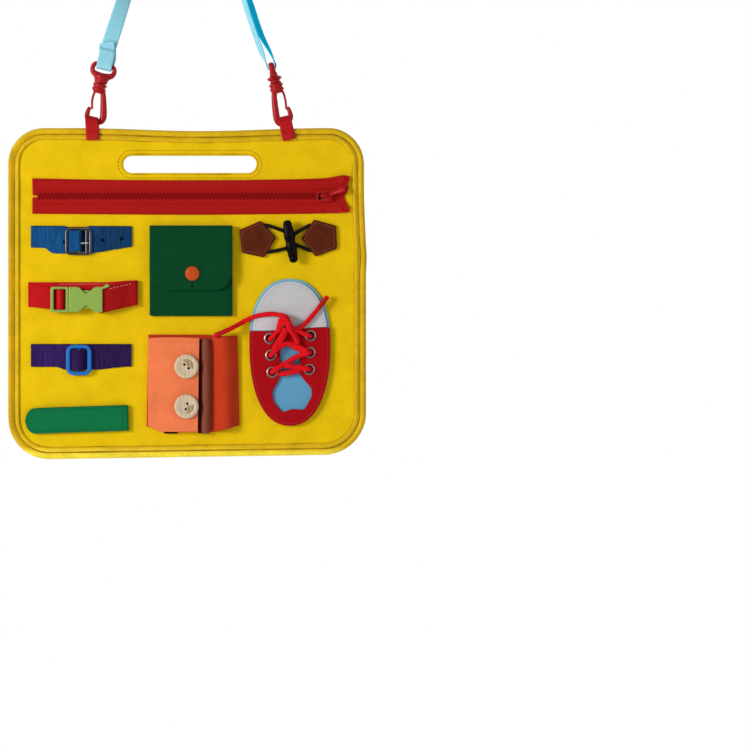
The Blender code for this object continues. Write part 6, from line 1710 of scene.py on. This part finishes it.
s = shoeSizes
upperLoops = [partOf(shoeLine(), False, -0.35), softLoop(shoeOpening)[::-1]]
punchProfile = [(0, 8), (3.6, 8), (3.6, 1), (0, 1)]
punches = [turned("punch", punchProfile, at(x, 0, z), steps=24) for x, z in eyeletPlaces.values()]
for piece, look, slotName, node in (
    (
        plate("shoeBase", [shoeLine(0.15)], 0.3, 1.4, 0.3, 6.0, 0.1, 20.0, 9.0),
        "blueFelt", "blue_felt", "shoe_base",
    ),
    (
        plate("shoeRim", [shoeLine(), shoeLine(2.6)[::-1]], 0.35, 1.5, 0.4, 6.0, 0.1, 20.0, 9.0),
        "rimFelt", "blue_felt", "shoe_base",
    ),
    (
        plate("toeCap", [partOf(shoeLine(s["rim"]), True)], 2.0, s["thick"], 0.45, 5.0, 0.12, 18.0, 2.0),
        "greyFelt", "grey_felt", "toe_cap",
    ),
    (
        cutAway(plate("shoeUpper", upperLoops, 2.0, s["thick"], 0.45, 5.0, 0.14, 18.0, 6.0), punches),
        "redFelt", "red_felt", "shoe_upper",
    ),
):
    dress(piece, look, slotName, node)
upperRim = fromGap([(x, z) for x, z in shoeLine(s["seamInset"]) if z < capEdge(x) - 2.0])
capRim = fromGap([(x, z) for x, z in shoeLine(s["rim"] + s["seamInset"]) if z > capEdge(x) + 2.0])
for name, line, depth, look, slotName, *sizes in (
    ("shoeUpperSeam", upperRim, 3.66, "pinkThread", "red_felt", 2.3, 1.3, 0.36),
    ("upperSeamShade", upperRim, 3.6, "redThread", "red_felt", 1.15, 1.1, 0.4),
    ("toeCapSeam", capRim, 3.62, "greyThread", "grey_felt", 2.3, 1.3, 0.42),
):
    stitches(name, [lineAt(line, depth, False)], look, slotName, *sizes)
for place, (x, z) in eyeletPlaces.items():
    end, row = place.split("_")
    ring = turned(f"{end}Eyelet{row}", eyeletProfile, at(x, 0, z))
    dress(ring, "eyeletSteel", "steel", "eyelet_" + place)
    # dark disc painted as the shade inside the eyelet
    hole = turned("eyeletDark", [(0, 2.9), (2.95, 2.9), (2.95, 2.2), (0, 2.2)], at(x, 0, z), steps=24)
    dress(hole, "darkHole", "blue_felt")
print("shoe made")

# ---- printed letters on the back, each at its middle, with its width
letterRows = [  # height of the row's middle, cap height, letters with middle, width and ink
    (64.4, 34.2, "ABCDEFG", (-95.4, -62.3, -29.5, 7.9, 39.2, 70.9, 104.5)),
    (14.6, 34.2, "HIJKLMN", (-99.0, -71.8, -45.9, -9.6, 25.2, 62.2, 103.5)),
    (-36.0, 34.4, "OPQRST", (-98.6, -57.0, -16.9, 26.2, 65.7, 101.6)),
    (-85.3, 34.2, "UVWXYZ", (-99.4, -60.1, -17.4, 25.2, 64.6, 100.0)),
]
letterWidths = {
    "A": 32.8, "B": 26.5, "C": 27.5, "D": 27.1, "E": 24.5, "F": 22.8, "G": 30.2, "H": 28.6, "I": 9.2,
    "J": 24.3, "K": 31.6, "L": 23.5, "M": 34.7, "N": 28.6, "O": 29.6, "P": 26.9, "Q": 30.6, "R": 28.4,
    "S": 28.6, "T": 30.2, "U": 31.0, "V": 33.0, "W": 43.2, "X": 33.0, "Y": 33.4, "Z": 30.6,
}
inkOrder = {"redInk": "ADGJORVY", "greenInk": "BEHKNPSWZ", "blueInk": "CFILMQTUX"}
letterRise = 0.22


def hooked(start, end, wide, tall):
    return [(0.5 + wide * x, 0.33 + tall * z) for x, z in (circlePoint(1.0, a) for a in spaced(start, end, 12))]


letterRings = {
    "M": [
        (0, 0), (0, 1), (0.2, 1), (0.5, 0.47), (0.8, 1), (1, 1), (1, 0), (0.79, 0), (0.79, 0.6), (0.5, 0.09),
        (0.21, 0.6), (0.21, 0),
    ],
    "J": [(1, 1)] + hooked(0, -165, 0.5, 0.33) + hooked(-165, 0, 0.19, 0.12) + [(0.69, 1)],
    "Q": [(0.46, 0.34), (0.64, 0.4), (1.06, -0.03), (0.84, -0.06)],
}


def letterMesh(letter, middleX, middleZ, wide, tall):
    if letter in letterRings:
        mesh = bpy.data.meshes.new("letter")
        ring = [(x, y, 0) for x, y in letterRings[letter]]
        mesh.from_pydata(ring, [], [range(len(ring))])
        low, high = (0, 0), (1, 1)
    else:
        text = bpy.data.curves.new("letter", "FONT")
        text.body = letter
        text.offset = 0.028
        mesh = plainMesh(standing("letter", text))
        low, high = ([pick(v.co[axis] for v in mesh.vertices) for axis in (0, 1)] for pick in (min, max))

    def raiseIt(work):
        bmesh.ops.remove_doubles(work, verts=work.verts, dist=1e-5)
        for v in work.verts:
            x, z = ((v.co[axis] - low[axis]) / (high[axis] - low[axis]) - 0.5 for axis in (0, 1))
            v.co = Vector((x * wide, 0.0, z * tall))
        for item in bmesh.ops.extrude_face_region(work, geom=work.faces[:])["geom"]:
            if isinstance(item, bmesh.types.BMVert):
                item.co.y = letterRise
        for v in work.verts:
            x, lift, z = -(middleX + v.co.x), v.co.y, middleZ + v.co.z
            v.co = at(x, -8.6 - lift + 0.06 + 0.16 * wander(x / 34.0, z / 34.0, 5.1), z)
        turnOutward(work)

    return reworked(mesh, raiseIt)


def gatherLetters(ink):
    def gather(work):
        for middleZ, tall, row, middles in letterRows:
            for letter, middleX in zip(row, middles):
                if letter in inkOrder[ink]:
                    for shape in ("QO" if letter == "Q" else letter):
                        work.from_mesh(letterMesh(shape, middleX, middleZ, letterWidths[letter], tall))

    return gather


for ink in inkOrder:
    letters = reworked(bpy.data.meshes.new(ink + "Letters"), gatherLetters(ink))
    dress(finished(ink + "Letters", letters, 30), ink, "pale_yellow_felt")
print("letters made")
